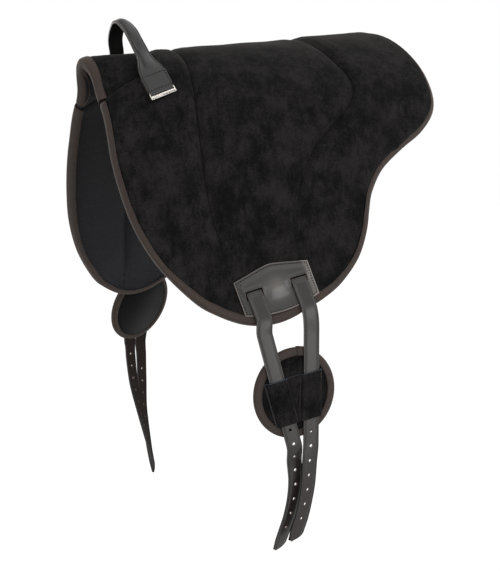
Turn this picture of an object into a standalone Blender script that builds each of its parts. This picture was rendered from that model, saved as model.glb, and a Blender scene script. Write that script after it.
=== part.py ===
# Bareback pad: a padded suede saddle pad that lies over a horse's back.
# Frame: +X towards the horse's tail, -Y the horse's left side, +Z up, metres.
# The origin is on the underside of the spine, halfway along the pad.
import math

import bmesh
import bpy
from mathutils import Matrix, Vector

# Pad, along and across the horse
PAD_LENGTH = 0.550
FLAP_DROP = 0.420
PITCH = math.radians(6.0)
SPREAD_FRONT = 0.030
SPREAD_REAR = 0.168
ROUND_FRONT = 0.048
ROUND_REAR = 0.150
FLARE_SHARE = 0.36
SPREAD_BOW_SHARE = 0.45
PINCH = 0.015
PINCH_DROP = 0.050
PINCH_REACH = 0.028
PINCH_RUN = 0.060
RIDGE_BLEND = 0.006

# Layers of the pad
SPINE_DEPTH = 0.010
COVER = 0.0025
LINING = 0.0030
EDGE = 0.0120
LAYER_GAP = 0.0005
SEAM_GAP = 0.0006
MARGIN = 0.0105
PUFF_POMMEL = 0.004
PUFF_KNEE = 0.008
PUFF_SEAT = 0.007
PUFF_CANTLE = 0.010
PUFF_LINING = 0.008

# Tape that binds the edges
TAPE = 0.0012
TAPE_GAP = 0.0005
TAPE_BACK_GAP = 0.0010

# Girth patches, billets and their anchors
PATCH = 0.0025
PATCH_WIDTH = 0.124
PATCH_CORNER_RISE = 0.018
PATCH_PEAK_RISE = 0.032
PATCH_DROP = 0.0325
PATCH_BOW = 0.004
STRAP_WIDTH = 0.025
STRAP = 0.0035
STRAP_LENGTH = 0.430
SLOT_SPACING = 0.074
SLOT_LENGTH = 0.0275
SLOT_HEIGHT = 0.0145
SLOT_SLANT_SHARE = 0.17
ANCHOR_LENGTH = 0.0135
ANCHOR_BAR = 0.0070
ANCHOR_END = 0.0004
HINGE_DROP = 0.0025
HOLE = 0.0050
HOLE_PITCH = 0.0235
FRONT_HOLES = 9
REAR_HOLES = 8
TIP_LENGTH = 0.018
FIT = 0.0005

# Buckle guards
GUARD_WIDTH = 0.128
GUARD_HEIGHT = 0.140
GUARD_TURN = math.radians(-20.0)
GUARD_SIDE_COUNT = 32
GUARD_FELT = 0.0040
GUARD_SKIN = 0.0015
GUARD_TAPE_WING = 0.010
SLEEVE = 0.0015
SLEEVE_TOP = 0.020
SLEEVE_BOTTOM = 0.041
SLEEVE_SLANT_SHARE = 0.22
CHANNEL = 0.0318
CHANNEL_SLOPE = 0.0010
SLEEVE_LAND = 0.0022
FRONT_LINE_MIDDLE = -0.0250
FRONT_LINE_SLANT_SHARE = 0.277
REAR_LINE_MIDDLE = 0.0253
STRAIGHT_BELOW = 0.080
STRAIGHT_ABOVE = {
    "left": {"front": 0.092, "rear": 0.092},
    "right": {"front": 0.066, "rear": 0.073},
}
LEFT_GUARD_PLACE = (0.0213, 0.0290, 0.1700)
LEFT_GUARD_TOE = math.radians(12.0)
RIGHT_GUARD_PLACE = (-0.006, 0.102)
RIGHT_GUARD_ROLL = math.radians(-4.4)

# Grab handle with its end tabs and metal dees
HANDLE_WIDTH = 0.024
HANDLE_END = 0.034
HANDLE_RISE = 0.0530
HANDLE_LEATHER = 0.0025
HANDLE_COVER = 0.0020
HANDLE_GAP = 0.0009
CORE_WIDTH = 0.013
CORE_HEIGHT = 0.0030
TAB_WIDTH = 0.042
TAB_LENGTH = 0.035
TAB_TILT = math.radians(15.0)
TAB_LEATHER = 0.0022
TAB_FOLD_WIDTH = 0.0345
DEE_WIDTH = 0.0425
DEE_BAR = 0.0032
DEE_PLATE = 0.0055
DEE_BEVEL = 0.0007

# Places as shares of the pad: along its length from the front, and down its drop
FRONT_TOP_SHARES = [(0.000, 0.000), (0.004, 0.020), (0.010, 0.050), (0.018, 0.110), (0.021, 0.158)]
SEAM_A_SHARES = [
    (0.222, 0.000), (0.205, 0.024), (0.175, 0.056), (0.135, 0.086), (0.095, 0.107),
    (0.055, 0.138), (0.022, 0.172),
]
FRONT_LOW_SHARES = [
    (0.022, 0.172), (0.023, 0.271), (0.024, 0.381), (0.035, 0.507), (0.058, 0.638),
    (0.104, 0.771), (0.180, 0.902), (0.238, 0.960), (0.288, 0.994),
]
SEAM_1_SHARES = [
    (0.291, 0.000), (0.284, 0.036), (0.271, 0.131), (0.265, 0.286), (0.258, 0.481),
    (0.262, 0.636), (0.276, 0.760), (0.290, 0.870), (0.302, 1.000),
]
SEAM_2_SHARES = [
    (0.718, 0.000), (0.724, 0.060), (0.740, 0.150), (0.738, 0.205), (0.718, 0.252),
    (0.680, 0.304), (0.627, 0.357), (0.578, 0.417), (0.542, 0.490), (0.509, 0.583),
    (0.490, 0.690), (0.486, 0.800), (0.489, 0.967),
]
REAR_SHARES = [
    (1.000, 0.000), (0.999, 0.060), (0.996, 0.190), (0.978, 0.307), (0.924, 0.388),
    (0.849, 0.445), (0.775, 0.512), (0.728, 0.593), (0.709, 0.657), (0.690, 0.731),
    (0.652, 0.821), (0.589, 0.902), (0.545, 0.938), (0.504, 0.963),
]
BOTTOM_BOW_SHARE = 0.013
ROW_SHARES = [
    0.000, 0.019, 0.042, 0.070, 0.108, 0.155, 0.216, 0.294, 0.376, 0.459,
    0.541, 0.624, 0.706, 0.788, 0.871, 0.940, 0.980, 1.000,
]
CORNER_ROW_INDEX = 6
SPINE_ROW_COUNT = 2
FADE_ROW_COUNT = 4
FLAT_ROW_INDEX = 13
PANEL_COLUMNS = {"pommel": 4, "knee": 5, "seat": 5, "cantle": 5}
PANEL_PUFFS = {
    "pommel": PUFF_POMMEL, "knee": PUFF_KNEE, "seat": PUFF_SEAT, "cantle": PUFF_CANTLE,
}
MARGIN_PUFF_SHARE = 0.72
MARGIN_LIMIT_SHARE = 0.30
WING_SHARE = 0.95
CURVE_STEP_COUNT = 24

# Middle of the girth slots and of the handle's tabs, as shares of the pad
SLOT_SHARES = (0.399, 0.875)
TAB_SHARES = (0.174, 0.128)

# Half of the handle's arch, from its top: out from the middle, down and towards the tail,
# as shares of its rise over the ridge
HANDLE_TOP_SHARE = 0.129
ARCH_CENTRE_SHARE = 1.25
ARCH_SHARES = [(0.165, 0.036, 0.010), (0.510, 0.275, 0.066), (0.680, 0.497, 0.115), (0.915, 0.953, 0.261)]

# Routes of the billets' free ends, as shares of the strap left below its straight stretch: towards
# the tail, outwards and down from that stretch's end, then the strap's toe-in in degrees
LEFT_TAIL_SHARES = {
    "front": [(0.036, -0.051, 0.166, 6.0), (0.056, -0.061, 0.334, 0.0), (0.046, -0.071, 0.495, -6.0),
              (0.009, -0.080, 0.659, -12.0), (-0.043, -0.090, 0.798, -18.0), (-0.104, -0.099, 0.954, -22.0)],
    "rear": [(-0.010, -0.004, 0.177, 4.0), (-0.015, -0.017, 0.371, 0.0), (-0.028, -0.030, 0.509, -3.0),
             (-0.069, -0.040, 0.700, -5.0), (-0.111, -0.053, 0.835, -7.0), (-0.147, -0.063, 0.941, -8.0)],
}
RIGHT_TAIL_SHARES = {
    "front": [(-0.002, -0.019, 0.131, 24.0), (0.002, -0.059, 0.318, 30.0), (0.023, -0.090, 0.479, 34.0),
              (0.050, -0.136, 0.674, 38.0), (0.080, -0.174, 0.839, 40.0), (0.104, -0.207, 0.989, 42.0)],
    "rear": [(0.007, 0.010, 0.144, 22.0), (0.001, -0.015, 0.352, 27.0), (-0.011, -0.060, 0.564, 32.0),
             (-0.002, -0.097, 0.731, 36.0), (0.010, -0.135, 0.922, 38.0), (0.026, -0.174, 1.077, 40.0)],
}
TAIL_SHARES = {"left": LEFT_TAIL_SHARES, "right": RIGHT_TAIL_SHARES}

SIDES = {"left": -1, "right": 1}


# Scene and finishes

def clear_scene():
    for item in list(bpy.data.objects):
        bpy.data.objects.remove(item, do_unlink=True)


def finish(name, colour, roughness, metallic=0.0):
    material = bpy.data.materials.new(name)
    material.use_nodes = True
    shader = material.node_tree.nodes["Principled BSDF"]
    shader.inputs["Base Color"].default_value = (*colour, 1.0)
    shader.inputs["Roughness"].default_value = roughness
    shader.inputs["Metallic"].default_value = metallic
    return material


clear_scene()
SUEDE = finish("suede", (0.012, 0.012, 0.012), 0.95)
MESH_CLOTH = finish("air mesh cloth", (0.008, 0.008, 0.009), 0.85)
FOAM = finish("grey foam", (0.10, 0.10, 0.11), 0.95)
FELT = finish("guard felt", (0.03, 0.03, 0.03), 0.95)
LEATHER = finish("dark leather", (0.045, 0.043, 0.042), 0.45)
BINDING = finish("grosgrain tape", (0.042, 0.032, 0.028), 0.8)
WEBBING = finish("spine webbing", (0.010, 0.010, 0.010), 0.9)
STEEL = finish("polished nickel", (0.75, 0.74, 0.72), 0.18, 1.0)


def add_object(name, mesh, material, smooth_angle=40.0):
    mesh.materials.append(material)
    mesh.shade_smooth()
    mesh.set_sharp_from_angle(angle=math.radians(smooth_angle))
    item = bpy.data.objects.new(name, mesh)
    bpy.context.scene.collection.objects.link(item)
    return item


def set_pivot(item, place):
    """Move an object's own origin to a place, its shape staying where it is."""
    item.data.transform(Matrix.Translation(-place))
    item.location = place


def mesh_from(name, shape):
    bmesh.ops.recalc_face_normals(shape, faces=shape.faces)
    mesh = bpy.data.meshes.new(name)
    shape.to_mesh(mesh)
    shape.free()
    return mesh


def loft(name, rings, material, closed=False):
    """Skin a row of rings, each a loop of points, and cap both ends unless it closes on itself."""
    shape = bmesh.new()
    loops = [[shape.verts.new(point) for point in ring] for ring in rings]
    pairs = list(zip(loops, loops[1:]))
    if closed:
        pairs.append((loops[-1], loops[0]))
    for first, second in pairs:
        for i in range(len(first)):
            j = (i + 1) % len(first)
            shape.faces.new((first[i], first[j], second[j], second[i]))
    if not closed:
        shape.faces.new(loops[0])
        shape.faces.new(loops[-1])
    return add_object(name, mesh_from(name, shape), material)


# The surface that the pad lies on: its outer face along the seams and edges

def spread(x):
    u = x / PAD_LENGTH + 0.5
    share = u * (1.0 + SPREAD_BOW_SHARE) - SPREAD_BOW_SHARE * u * u
    return SPREAD_FRONT + (SPREAD_REAR - SPREAD_FRONT) * share


def rounding(x):
    return ROUND_FRONT + (ROUND_REAR - ROUND_FRONT) * (x / PAD_LENGTH + 0.5)


def ridge_height(x):
    return SPINE_DEPTH + x * math.tan(PITCH)


def half_width(x, drop):
    """How far out the surface is, at a drop below the ridge: an arch that runs into a leaning side."""
    share = min(drop / rounding(x), 1.0)
    arch = spread(x) * math.sqrt(max(1.0 - (1.0 - share) ** 2, 0.0))
    front = x + 0.5 * PAD_LENGTH
    pinch = PINCH * math.exp(-((drop - PINCH_DROP) / PINCH_REACH) ** 2 - (front / PINCH_RUN) ** 2)
    pinch *= 1.0 - math.exp(-((drop / RIDGE_BLEND) ** 2))
    return arch + FLARE_SHARE * drop - pinch


def turn_of(x, drop):
    """The turn round the arch at a drop: 1 where the arch ends, more than 1 on the flat side."""
    share = drop / rounding(x)
    if share < 1.0:
        return math.acos(1.0 - share) * 2.0 / math.pi
    return 1.0 + (share - 1.0) * 2.0 / math.pi


def drop_of(x, turn):
    if turn < 1.0:
        return rounding(x) * (1.0 - math.cos(turn * math.pi / 2.0))
    return rounding(x) * (1.0 + (turn - 1.0) * math.pi / 2.0)


def surface(x, turn):
    side = -1.0 if turn < 0.0 else 1.0
    drop = drop_of(x, abs(turn))
    return Vector((x, side * half_width(x, drop), ridge_height(x) - drop))


def outward(x, turn):
    step = 0.02
    run = surface(x + step * PAD_LENGTH / 10.0, turn) - surface(x - step * PAD_LENGTH / 10.0, turn)
    fall = surface(x, turn + step) - surface(x, turn - step)
    return run.cross(fall).normalized()


# Seams and edges, as smooth curves on that surface

def curve_through(shares):
    """Points close together on a smooth curve through the given places."""
    places = []
    for along, down in shares:
        x = (along - 0.5) * PAD_LENGTH
        places.append(Vector((x / PAD_LENGTH, turn_of(x, down * FLAP_DROP))))
    fine = []
    for i in range(len(places) - 1):
        a = places[max(i - 1, 0)]
        b, c = places[i], places[i + 1]
        d = places[min(i + 2, len(places) - 1)]
        for k in range(CURVE_STEP_COUNT):
            t = k / CURVE_STEP_COUNT
            fine.append(0.5 * (2.0 * b + (c - a) * t + (2.0 * a - 5.0 * b + 4.0 * c - d) * t * t
                               + (3.0 * b - a - 3.0 * c + d) * t ** 3))
    fine.append(places[-1])
    return [(place.x * PAD_LENGTH, place.y) for place in fine]


def along(curve, share):
    """The place at a share of a curve's length over the surface."""
    points = [surface(*place) for place in curve]
    steps = [(b - a).length for a, b in zip(points, points[1:])]
    target = share * sum(steps)
    for i, step in enumerate(steps):
        if target <= step or i == len(steps) - 1:
            t = min(target / step, 1.0)
            return tuple(p + (q - p) * t for p, q in zip(curve[i], curve[i + 1]))
        target -= step
    return curve[-1]


ROWS = len(ROW_SHARES) - 1
CORNER = ROW_SHARES[CORNER_ROW_INDEX]
TOP_SHARES = [share / CORNER for share in ROW_SHARES[:CORNER_ROW_INDEX + 1]]
LOW_SHARES = [(share - CORNER) / (1.0 - CORNER) for share in ROW_SHARES[CORNER_ROW_INDEX:]]


def places_on(shares, stops):
    curve = curve_through(shares)
    return [along(curve, stop) for stop in stops]


FRONT_TOP = places_on(FRONT_TOP_SHARES, TOP_SHARES)
SEAM_A = places_on(SEAM_A_SHARES, TOP_SHARES)
FRONT_LOW = places_on(FRONT_LOW_SHARES, LOW_SHARES)
SEAM_1 = places_on(SEAM_1_SHARES, ROW_SHARES)
SEAM_2 = places_on(SEAM_2_SHARES, ROW_SHARES)
REAR = places_on(REAR_SHARES, ROW_SHARES)
PANEL_SIDES = {
    "pommel": (FRONT_TOP, SEAM_A),
    "knee": (SEAM_A[:-1] + FRONT_LOW, SEAM_1),
    "seat": (SEAM_1, SEAM_2),
    "cantle": (SEAM_2, REAR),
}


def column_shares(width, count):
    edge = min(MARGIN / width, MARGIN_LIMIT_SHARE)
    inner = [edge + (1.0 - 2.0 * edge) * k / (count - 2) for k in range(count - 1)]
    return [0.0] + inner + [1.0]


def panel_grid(panel):
    """Rows of (x, turn, puff, depth) for one side of a panel, from the ridge down."""
    lefts, rights = PANEL_SIDES[panel]
    count = PANEL_COLUMNS[panel]
    grid = []
    for row, (left, right) in enumerate(zip(lefts, rights)):
        width = (surface(*right) - surface(*left)).length
        fade = min(max((FLAT_ROW_INDEX - row) / FADE_ROW_COUNT, 0.0), 1.0)
        low_fade = min(max((ROWS - 1 - row) / FADE_ROW_COUNT, 0.0), 1.0)
        if panel == "pommel":
            fade = 1.0 if row < CORNER_ROW_INDEX else 0.0
            low_fade = fade
        shoulder = min(max(row - SPINE_ROW_COUNT, 0) / 2.0, 1.0)
        cells = []
        for column, share in enumerate(column_shares(width, count)):
            x = left[0] + (right[0] - left[0]) * share
            turn = left[1] + (right[1] - left[1]) * share
            if panel == "seat":
                bow = 4.0 * share * (1.0 - share) * max(0.0, 2.0 * ROW_SHARES[row] - 1.0) ** 2
                turn = turn_of(x, drop_of(x, turn) + bow * BOTTOM_BOW_SHARE * FLAP_DROP)
            edge = min(column, count - column)
            swell = (0.0, MARGIN_PUFF_SHARE, 1.0)[min(edge, 2)]
            low_swell = 1.0 if panel == "pommel" and column <= 1 else swell
            depth = EDGE + low_swell * low_fade * shoulder * PUFF_LINING
            if row < SPINE_ROW_COUNT:
                depth = SPINE_DEPTH
            cells.append((x, turn, swell * fade * PANEL_PUFFS[panel], depth))
        grid.append(cells)
    return grid


GRIDS = {panel: panel_grid(panel) for panel in PANEL_SIDES}


def both_sides(grid):
    near = [[(x, -turn, puff, depth) for x, turn, puff, depth in row] for row in grid[1:]]
    return near[::-1] + grid


def slab(name, grids, material, upper, lower, side=1.0):
    """A sheet with thickness over the surface; upper and lower give its faces from puff and depth."""
    shape = bmesh.new()
    tops, bottoms = {}, {}

    def corner(cell):
        key = (round(cell[0] * 1e5), round(cell[1] * 1e4))
        if key not in tops:
            point = surface(cell[0], cell[1] * side)
            normal = outward(cell[0], cell[1] * side)
            tops[key] = shape.verts.new(point + normal * upper(cell[2], cell[3]))
            bottoms[key] = shape.verts.new(point + normal * lower(cell[2], cell[3]))
        return key

    edges = {}
    for grid in grids:
        keys = [[corner(cell) for cell in row] for row in grid]
        for first, second in zip(keys, keys[1:]):
            for i in range(len(first) - 1):
                quad = (first[i], first[i + 1], second[i + 1], second[i])
                rising = tops[first[i]].co.z < tops[second[i]].co.z
                if rising:
                    split = ((quad[1], quad[2], quad[3]), (quad[1], quad[3], quad[0]))
                else:
                    split = ((quad[0], quad[1], quad[2]), (quad[0], quad[2], quad[3]))
                for three in split:
                    shape.faces.new([tops[key] for key in three])
                    shape.faces.new([bottoms[key] for key in reversed(three)])
                for a, b in zip(quad, quad[1:] + quad[:1]):
                    edges[(a, b)] = edges.get((a, b), 0) + 1
    for a, b in edges:
        if (b, a) not in edges:
            shape.faces.new((tops[b], tops[a], bottoms[a], bottoms[b]))
    return add_object(name, mesh_from(name, shape), material)


def seamed(grid, left_seam, right_seam):
    """Draw a panel's seam edges in a little, so that neighbouring panels don't touch."""
    result = []
    for row in grid:
        width = (surface(*row[-1][:2]) - surface(*row[0][:2])).length
        share = SEAM_GAP / 2.0 / width
        cells = [list(cell) for cell in row]
        for use, here, there in ((left_seam, 0, -1), (right_seam, -1, 0)):
            if use:
                for axis in (0, 1):
                    cells[here][axis] += (row[there][axis] - row[here][axis]) * share
        result.append([tuple(cell) for cell in cells])
    return result


# Suede cover: four panels that cross the ridge

def cover_top(puff, depth):
    return puff


def cover_bottom(puff, depth):
    return puff - COVER


def build_cover():
    for panel in PANEL_SIDES:
        grid = seamed(both_sides(GRIDS[panel]), panel != "pommel", panel != "cantle")
        if panel == "knee":
            grid = knee_grid()
        slab(panel + "_panel", [grid], SUEDE, cover_top, cover_bottom)


def knee_grid():
    """The knee panel's front side is a seam only as far down as the corner row."""
    grid = both_sides(GRIDS["knee"])
    drawn = seamed(grid, True, True)
    edge = seamed(grid, False, True)
    middle = len(grid) // 2
    return [drawn[i] if abs(i - middle) <= CORNER_ROW_INDEX else edge[i] for i in range(len(grid))]


# Foam, lining and the strip along the spine

def foam_top(puff, depth):
    return puff - COVER - LAYER_GAP


def foam_bottom(puff, depth):
    return LINING + LAYER_GAP - depth


def lining_top(puff, depth):
    return LINING - depth


def lining_bottom(puff, depth):
    return -depth


def strip_bottom(puff, depth):
    return -SPINE_DEPTH


def build_filling():
    halves = [grid[SPINE_ROW_COUNT:] for grid in GRIDS.values()]
    for name, side in SIDES.items():
        slab(name + "_foam", halves, FOAM, foam_top, foam_bottom, side)
        slab(name + "_lining", halves, MESH_CLOTH, lining_top, lining_bottom, side)
    strips = []
    for grid in GRIDS.values():
        rows = both_sides(grid[:SPINE_ROW_COUNT + 1])
        rows[0] = draw_in(rows[0], rows[1])
        rows[-1] = draw_in(rows[-1], rows[-2])
        strips.append(rows)
    slab("spine_strip", strips, WEBBING, foam_top, strip_bottom)


def draw_in(row, inner):
    """Bring a row a little towards the next one in."""
    result = []
    for cell, next_cell in zip(row, inner):
        width = (surface(*cell[:2]) - surface(*next_cell[:2])).length
        share = 2.0 * SEAM_GAP / width
        place = [a + (b - a) * share for a, b in zip(cell[:2], next_cell[:2])]
        result.append((*place, cell[2], cell[3]))
    return result


# Tape round the edges

def edge_section(cell, inner, side):
    """The loop of a folded tape's section at an edge place, laid round the pad's layers."""
    point, normal = surface(cell[0], cell[1] * side), outward(cell[0], cell[1] * side)
    next_point, next_normal = surface(inner[0], inner[1] * side), outward(inner[0], inner[1] * side)
    high, low = point, point - normal * cell[3]
    next_high, next_low = next_point + next_normal * inner[2], next_point - next_normal * inner[3]
    back = (point - next_point).normalized()
    section = []
    for gap in (TAPE_GAP, TAPE_GAP + TAPE):
        tip_high = high.lerp(next_high, WING_SHARE) + next_normal * gap
        tip_low = low.lerp(next_low, WING_SHARE) - next_normal * gap
        behind = back * (gap + TAPE_BACK_GAP - TAPE_GAP)
        face = [tip_high, high + behind + normal * gap, low + behind - normal * gap, tip_low]
        section += face if gap == TAPE_GAP else face[::-1]
    return section


def tape(name, sections, leads, material, closed=False):
    """Skin tape sections; a lead splits a wing's facets from its edge to the next section's wing."""
    shape = bmesh.new()
    loops = [[shape.verts.new(point) for point in section] for section in sections]
    pairs = list(zip(loops, loops[1:], leads))
    if closed:
        pairs.append((loops[-1], loops[0], leads[-1]))
    for first, second, lead in pairs:
        for i in range(8):
            j = (i + 1) % 8
            quad = (first[i], first[j], second[j], second[i])
            wing_first = i in (0, 4)
            if wing_first == lead:
                quad = quad[1:] + quad[:1]
            shape.faces.new((quad[0], quad[1], quad[2]))
            shape.faces.new((quad[0], quad[2], quad[3]))
    if not closed:
        shape.faces.new(loops[0])
        shape.faces.new(loops[-1])
    return add_object(name, mesh_from(name, shape), material)


def edge_cells():
    """Edge places from the corner at the pommel down, round the flap and up to the ridge at the rear."""
    knee, seat, cantle = GRIDS["knee"], GRIDS["seat"], GRIDS["cantle"]
    cells = [(knee[row][0], knee[row][1], True) for row in range(CORNER_ROW_INDEX, ROWS)]
    beside = [(a + b) / 2.0 for a, b in zip(knee[ROWS - 1][0], knee[ROWS][1])]
    cells.append((knee[ROWS][0], beside, False))
    for grid in (knee, seat, cantle):
        for column in range(1, len(grid[ROWS])):
            inner = column - 1 if grid is cantle and column == len(grid[ROWS]) - 1 else column
            cells.append((grid[ROWS][column], grid[ROWS - 1][inner], False))
    cells += [(cantle[row][-1], cantle[row][-2], True) for row in range(ROWS - 1, -1, -1)]
    return cells


def beside(pair, other):
    """An inner place for a pair's edge place, towards where another pair's inner place lies."""
    (cell, inner), (other_cell, other_inner) = pair, other
    reach = (surface(*inner[:2]) - surface(*cell[:2])).length
    share = reach / (surface(*other_inner[:2]) - surface(*other_cell[:2])).length
    place = [a + (c - b) * share for a, b, c in zip(cell[:2], other_cell[:2], other_inner[:2])]
    return (*place, *other_inner[2:])


def build_bindings():
    cells = edge_cells()
    left = [edge_section(cell, inner, -1) for cell, inner, lead in cells]
    right = [edge_section(cell, inner, 1) for cell, inner, lead in cells[:-1]]
    leads = [lead for cell, inner, lead in cells[:-1]]
    tape("edge_binding", left + right[::-1], leads + [not lead for lead in leads[::-1]], BINDING)
    pommel = GRIDS["pommel"]
    top = [(pommel[row][0], pommel[row][1]) for row in range(CORNER_ROW_INDEX + 1)]
    top[-1] = (top[-1][0], beside(top[-1], top[-2]))
    left = [edge_section(cell, inner, -1) for cell, inner in top[::-1]]
    right = [edge_section(cell, inner, 1) for cell, inner in top[1:]]
    leads = [False] * CORNER_ROW_INDEX + [True] * CORNER_ROW_INDEX
    tape("pommel_binding", left + right, leads, BINDING)


# The flat of each flap, where the girth straps are sewn on

def flap_frame(side):
    """Middle of the slots, then the directions along the slots, down the flap and outwards."""
    middle = (SLOT_SHARES[0] - 0.5) * PAD_LENGTH
    drop = SLOT_SHARES[1] * FLAP_DROP
    points = []
    for run in (-0.5 * SLOT_SPACING, 0.0, 0.5 * SLOT_SPACING):
        x = middle + run
        points.append(surface(x, turn_of(x, drop - SLOT_SLANT_SHARE * run) * side))
    run = (points[2] - points[0]).normalized()
    normal = outward(middle, turn_of(middle, drop) * side)
    normal = (normal - run * normal.dot(run)).normalized()
    fall = run.cross(normal) * -side
    return points[1], run, fall, normal


def at_flap(frame, along_slots, down, out):
    origin, run, fall, normal = frame
    return origin + run * along_slots + fall * down + normal * out


def on_flap(frame, side, along_slots, down, out):
    """A point laid on the curved flap, at a height over it."""
    flat = at_flap(frame, along_slots, down, 0.0)
    turn = turn_of(flat.x, ridge_height(flat.x) - flat.z) * side
    return surface(flat.x, turn) + outward(flat.x, turn) * out


def flap_plate(name, side, grid, material, thickness):
    """A sheet laid on the flap from rows of (along, down, height), with some cells left open."""
    frame = flap_frame(side)
    shape = bmesh.new()
    corners = []
    for cells in grid["rows"]:
        corners.append([[shape.verts.new(on_flap(frame, side, a, d, h + t)) for t in (thickness, 0.0)]
                        for a, d, h in cells])
    open_cells = grid["open"]
    edges = {}
    for r in range(len(corners) - 1):
        for c in range(len(corners[0]) - 1):
            if (r, c) in open_cells:
                continue
            quad = [(r, c), (r, c + 1), (r + 1, c + 1), (r + 1, c)]
            for a, b, d in ((0, 1, 2), (0, 2, 3)):
                three = [corners[quad[k][0]][quad[k][1]] for k in (a, b, d)]
                shape.faces.new([pair[0] for pair in three])
                shape.faces.new([pair[1] for pair in reversed(three)])
            for a, b in zip(quad, quad[1:] + quad[:1]):
                edges[(a, b)] = True
    for a, b in edges:
        if (b, a) not in edges:
            first, second = corners[a[0]][a[1]], corners[b[0]][b[1]]
            shape.faces.new((second[0], first[0], first[1], second[1]))
    return add_object(name, mesh_from(name, shape), material)


def build_girth_patches():
    half = 0.5 * PATCH_WIDTH
    outer = 0.5 * (SLOT_SPACING + SLOT_LENGTH)
    inner = 0.5 * (SLOT_SPACING - SLOT_LENGTH)
    rise = STRAP + FIT
    stations = [(half, 0.0), (0.5 * (half + outer), 0.0), (outer, rise), (inner, rise)]
    columns = [(-a, h) for a, h in stations] + [(0.0, rise)] + [(a, h) for a, h in stations[::-1]]
    rows = [[], [], [], [], []]
    for a, lift in columns:
        share = 1.0 - abs(a) / half
        top = -(PATCH_CORNER_RISE + (PATCH_PEAK_RISE - PATCH_CORNER_RISE) * share)
        bottom = PATCH_DROP + PATCH_BOW * (1.0 - (abs(a) / half) ** 2)
        rows[0].append((a, top, FIT))
        rows[1].append((a, -(ANCHOR_LENGTH + 2.0 * FIT), FIT + lift))
        rows[2].append((a, 0.0, FIT + lift))
        rows[3].append((a, SLOT_HEIGHT, FIT))
        rows[4].append((a, bottom, FIT))
    grid = {"rows": rows, "open": {(2, 2), (2, 5)}}
    arm = 0.5 * (SLOT_SPACING + STRAP_WIDTH)
    gap = 0.5 * (SLOT_SPACING - STRAP_WIDTH)
    across = [-arm, -gap, 0.0, gap, arm]
    levels = [-ANCHOR_LENGTH, -ANCHOR_LENGTH + ANCHOR_BAR, -ANCHOR_END]
    anchor = {"rows": [[(a, d, FIT) for a in across] for d in levels], "open": {(1, 1), (1, 2)}}
    for name, side in SIDES.items():
        flap_plate(name + "_girth_patch", side, grid, LEATHER, PATCH)
        flap_plate(name + "_billet_anchor", side, anchor, LEATHER, STRAP)


# Buckle guards: their frames, with the straps' middle plane at no height

def guard_frame(name):
    """Middle of the guard, then the directions towards the tail, up and outwards."""
    side = SIDES[name]
    origin, run, fall, normal = flap_frame(side)
    if name == "left":
        back, out, down = LEFT_GUARD_PLACE
        middle = origin + Vector((back, side * out, -down))
        across = Vector((math.cos(LEFT_GUARD_TOE), side * math.sin(LEFT_GUARD_TOE), 0.0))
        rise = Vector((0.0, 0.0, 1.0))
        face = rise.cross(across) * side
        return middle, across, rise, face
    height = FIT + PATCH + FIT + guard_depth() + 0.5 * TAPE
    level = Vector((normal.y, -normal.x, 0.0)).normalized()
    upright = level.cross(normal).normalized() * side
    across = level * math.cos(RIGHT_GUARD_ROLL) - upright * math.sin(RIGHT_GUARD_ROLL)
    rise = upright * math.cos(RIGHT_GUARD_ROLL) + level * math.sin(RIGHT_GUARD_ROLL)
    middle = at_flap((origin, run, fall, normal), *RIGHT_GUARD_PLACE, height)
    return middle, across, rise, normal


def guard_levels():
    """Heights of the guard's layers under the middle plane of the straps."""
    face = -(0.5 * STRAP + FIT + TAPE + TAPE_GAP)
    felt = face - GUARD_SKIN - TAPE_GAP
    lining = felt - GUARD_FELT - TAPE_GAP
    return face, felt, lining, lining - GUARD_SKIN


def guard_depth():
    return -guard_levels()[3] + TAPE_GAP + TAPE


def at_guard(frame, across, up, out):
    middle, towards, rise, face = frame
    return middle + towards * across + rise * up + face * out


def oval(frame, inset, height):
    """The guard's outline at a height, drawn in all round by the inset."""
    points = []
    for k in range(GUARD_SIDE_COUNT):
        angle = 2.0 * math.pi * k / GUARD_SIDE_COUNT
        a = (0.5 * GUARD_WIDTH - inset) * math.cos(angle)
        b = (0.5 * GUARD_HEIGHT - inset) * math.sin(angle)
        across = a * math.cos(GUARD_TURN) - b * math.sin(GUARD_TURN)
        up = a * math.sin(GUARD_TURN) + b * math.cos(GUARD_TURN)
        points.append(at_guard(frame, across, up, height))
    return points


def disc(name, frame, high, low, material):
    return loft(name, [oval(frame, 0.0, high), oval(frame, 0.0, low)], material)


def line_at(strap, up):
    """Where a strap's middle runs across the guard, at a height up it."""
    if strap == "front":
        return FRONT_LINE_MIDDLE - FRONT_LINE_SLANT_SHARE * up
    return REAR_LINE_MIDDLE


def sleeve_ring(frame, level):
    """Section of the sleeve along its slanting top or bottom edge."""
    land = guard_levels()[0] + TAPE_GAP
    roof = 0.5 * STRAP + FIT
    half = 0.5 * CHANNEL
    places = []
    for strap in ("front", "rear"):
        middle = line_at(strap, level)
        middle = line_at(strap, level + SLEEVE_SLANT_SHARE * middle)
        for away, height in ((-half, land), (CHANNEL_SLOPE - half, roof),
                             (half - CHANNEL_SLOPE, roof), (half, land)):
            places.append((middle + away, height, SLEEVE if away > 0.0 else -SLEEVE))
    first, last = places[0][0] - SLEEVE_LAND, places[-1][0] + SLEEVE_LAND
    places = [(first, land, 0.0)] + places + [(last, land, 0.0)]
    ring = []
    for thickness, row in ((0.0, places), (1.0, places[::-1])):
        for across, height, wall in row:
            across += thickness * wall
            height += thickness * SLEEVE
            ring.append(at_guard(frame, across, level + SLEEVE_SLANT_SHARE * across, height))
    return ring


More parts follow.
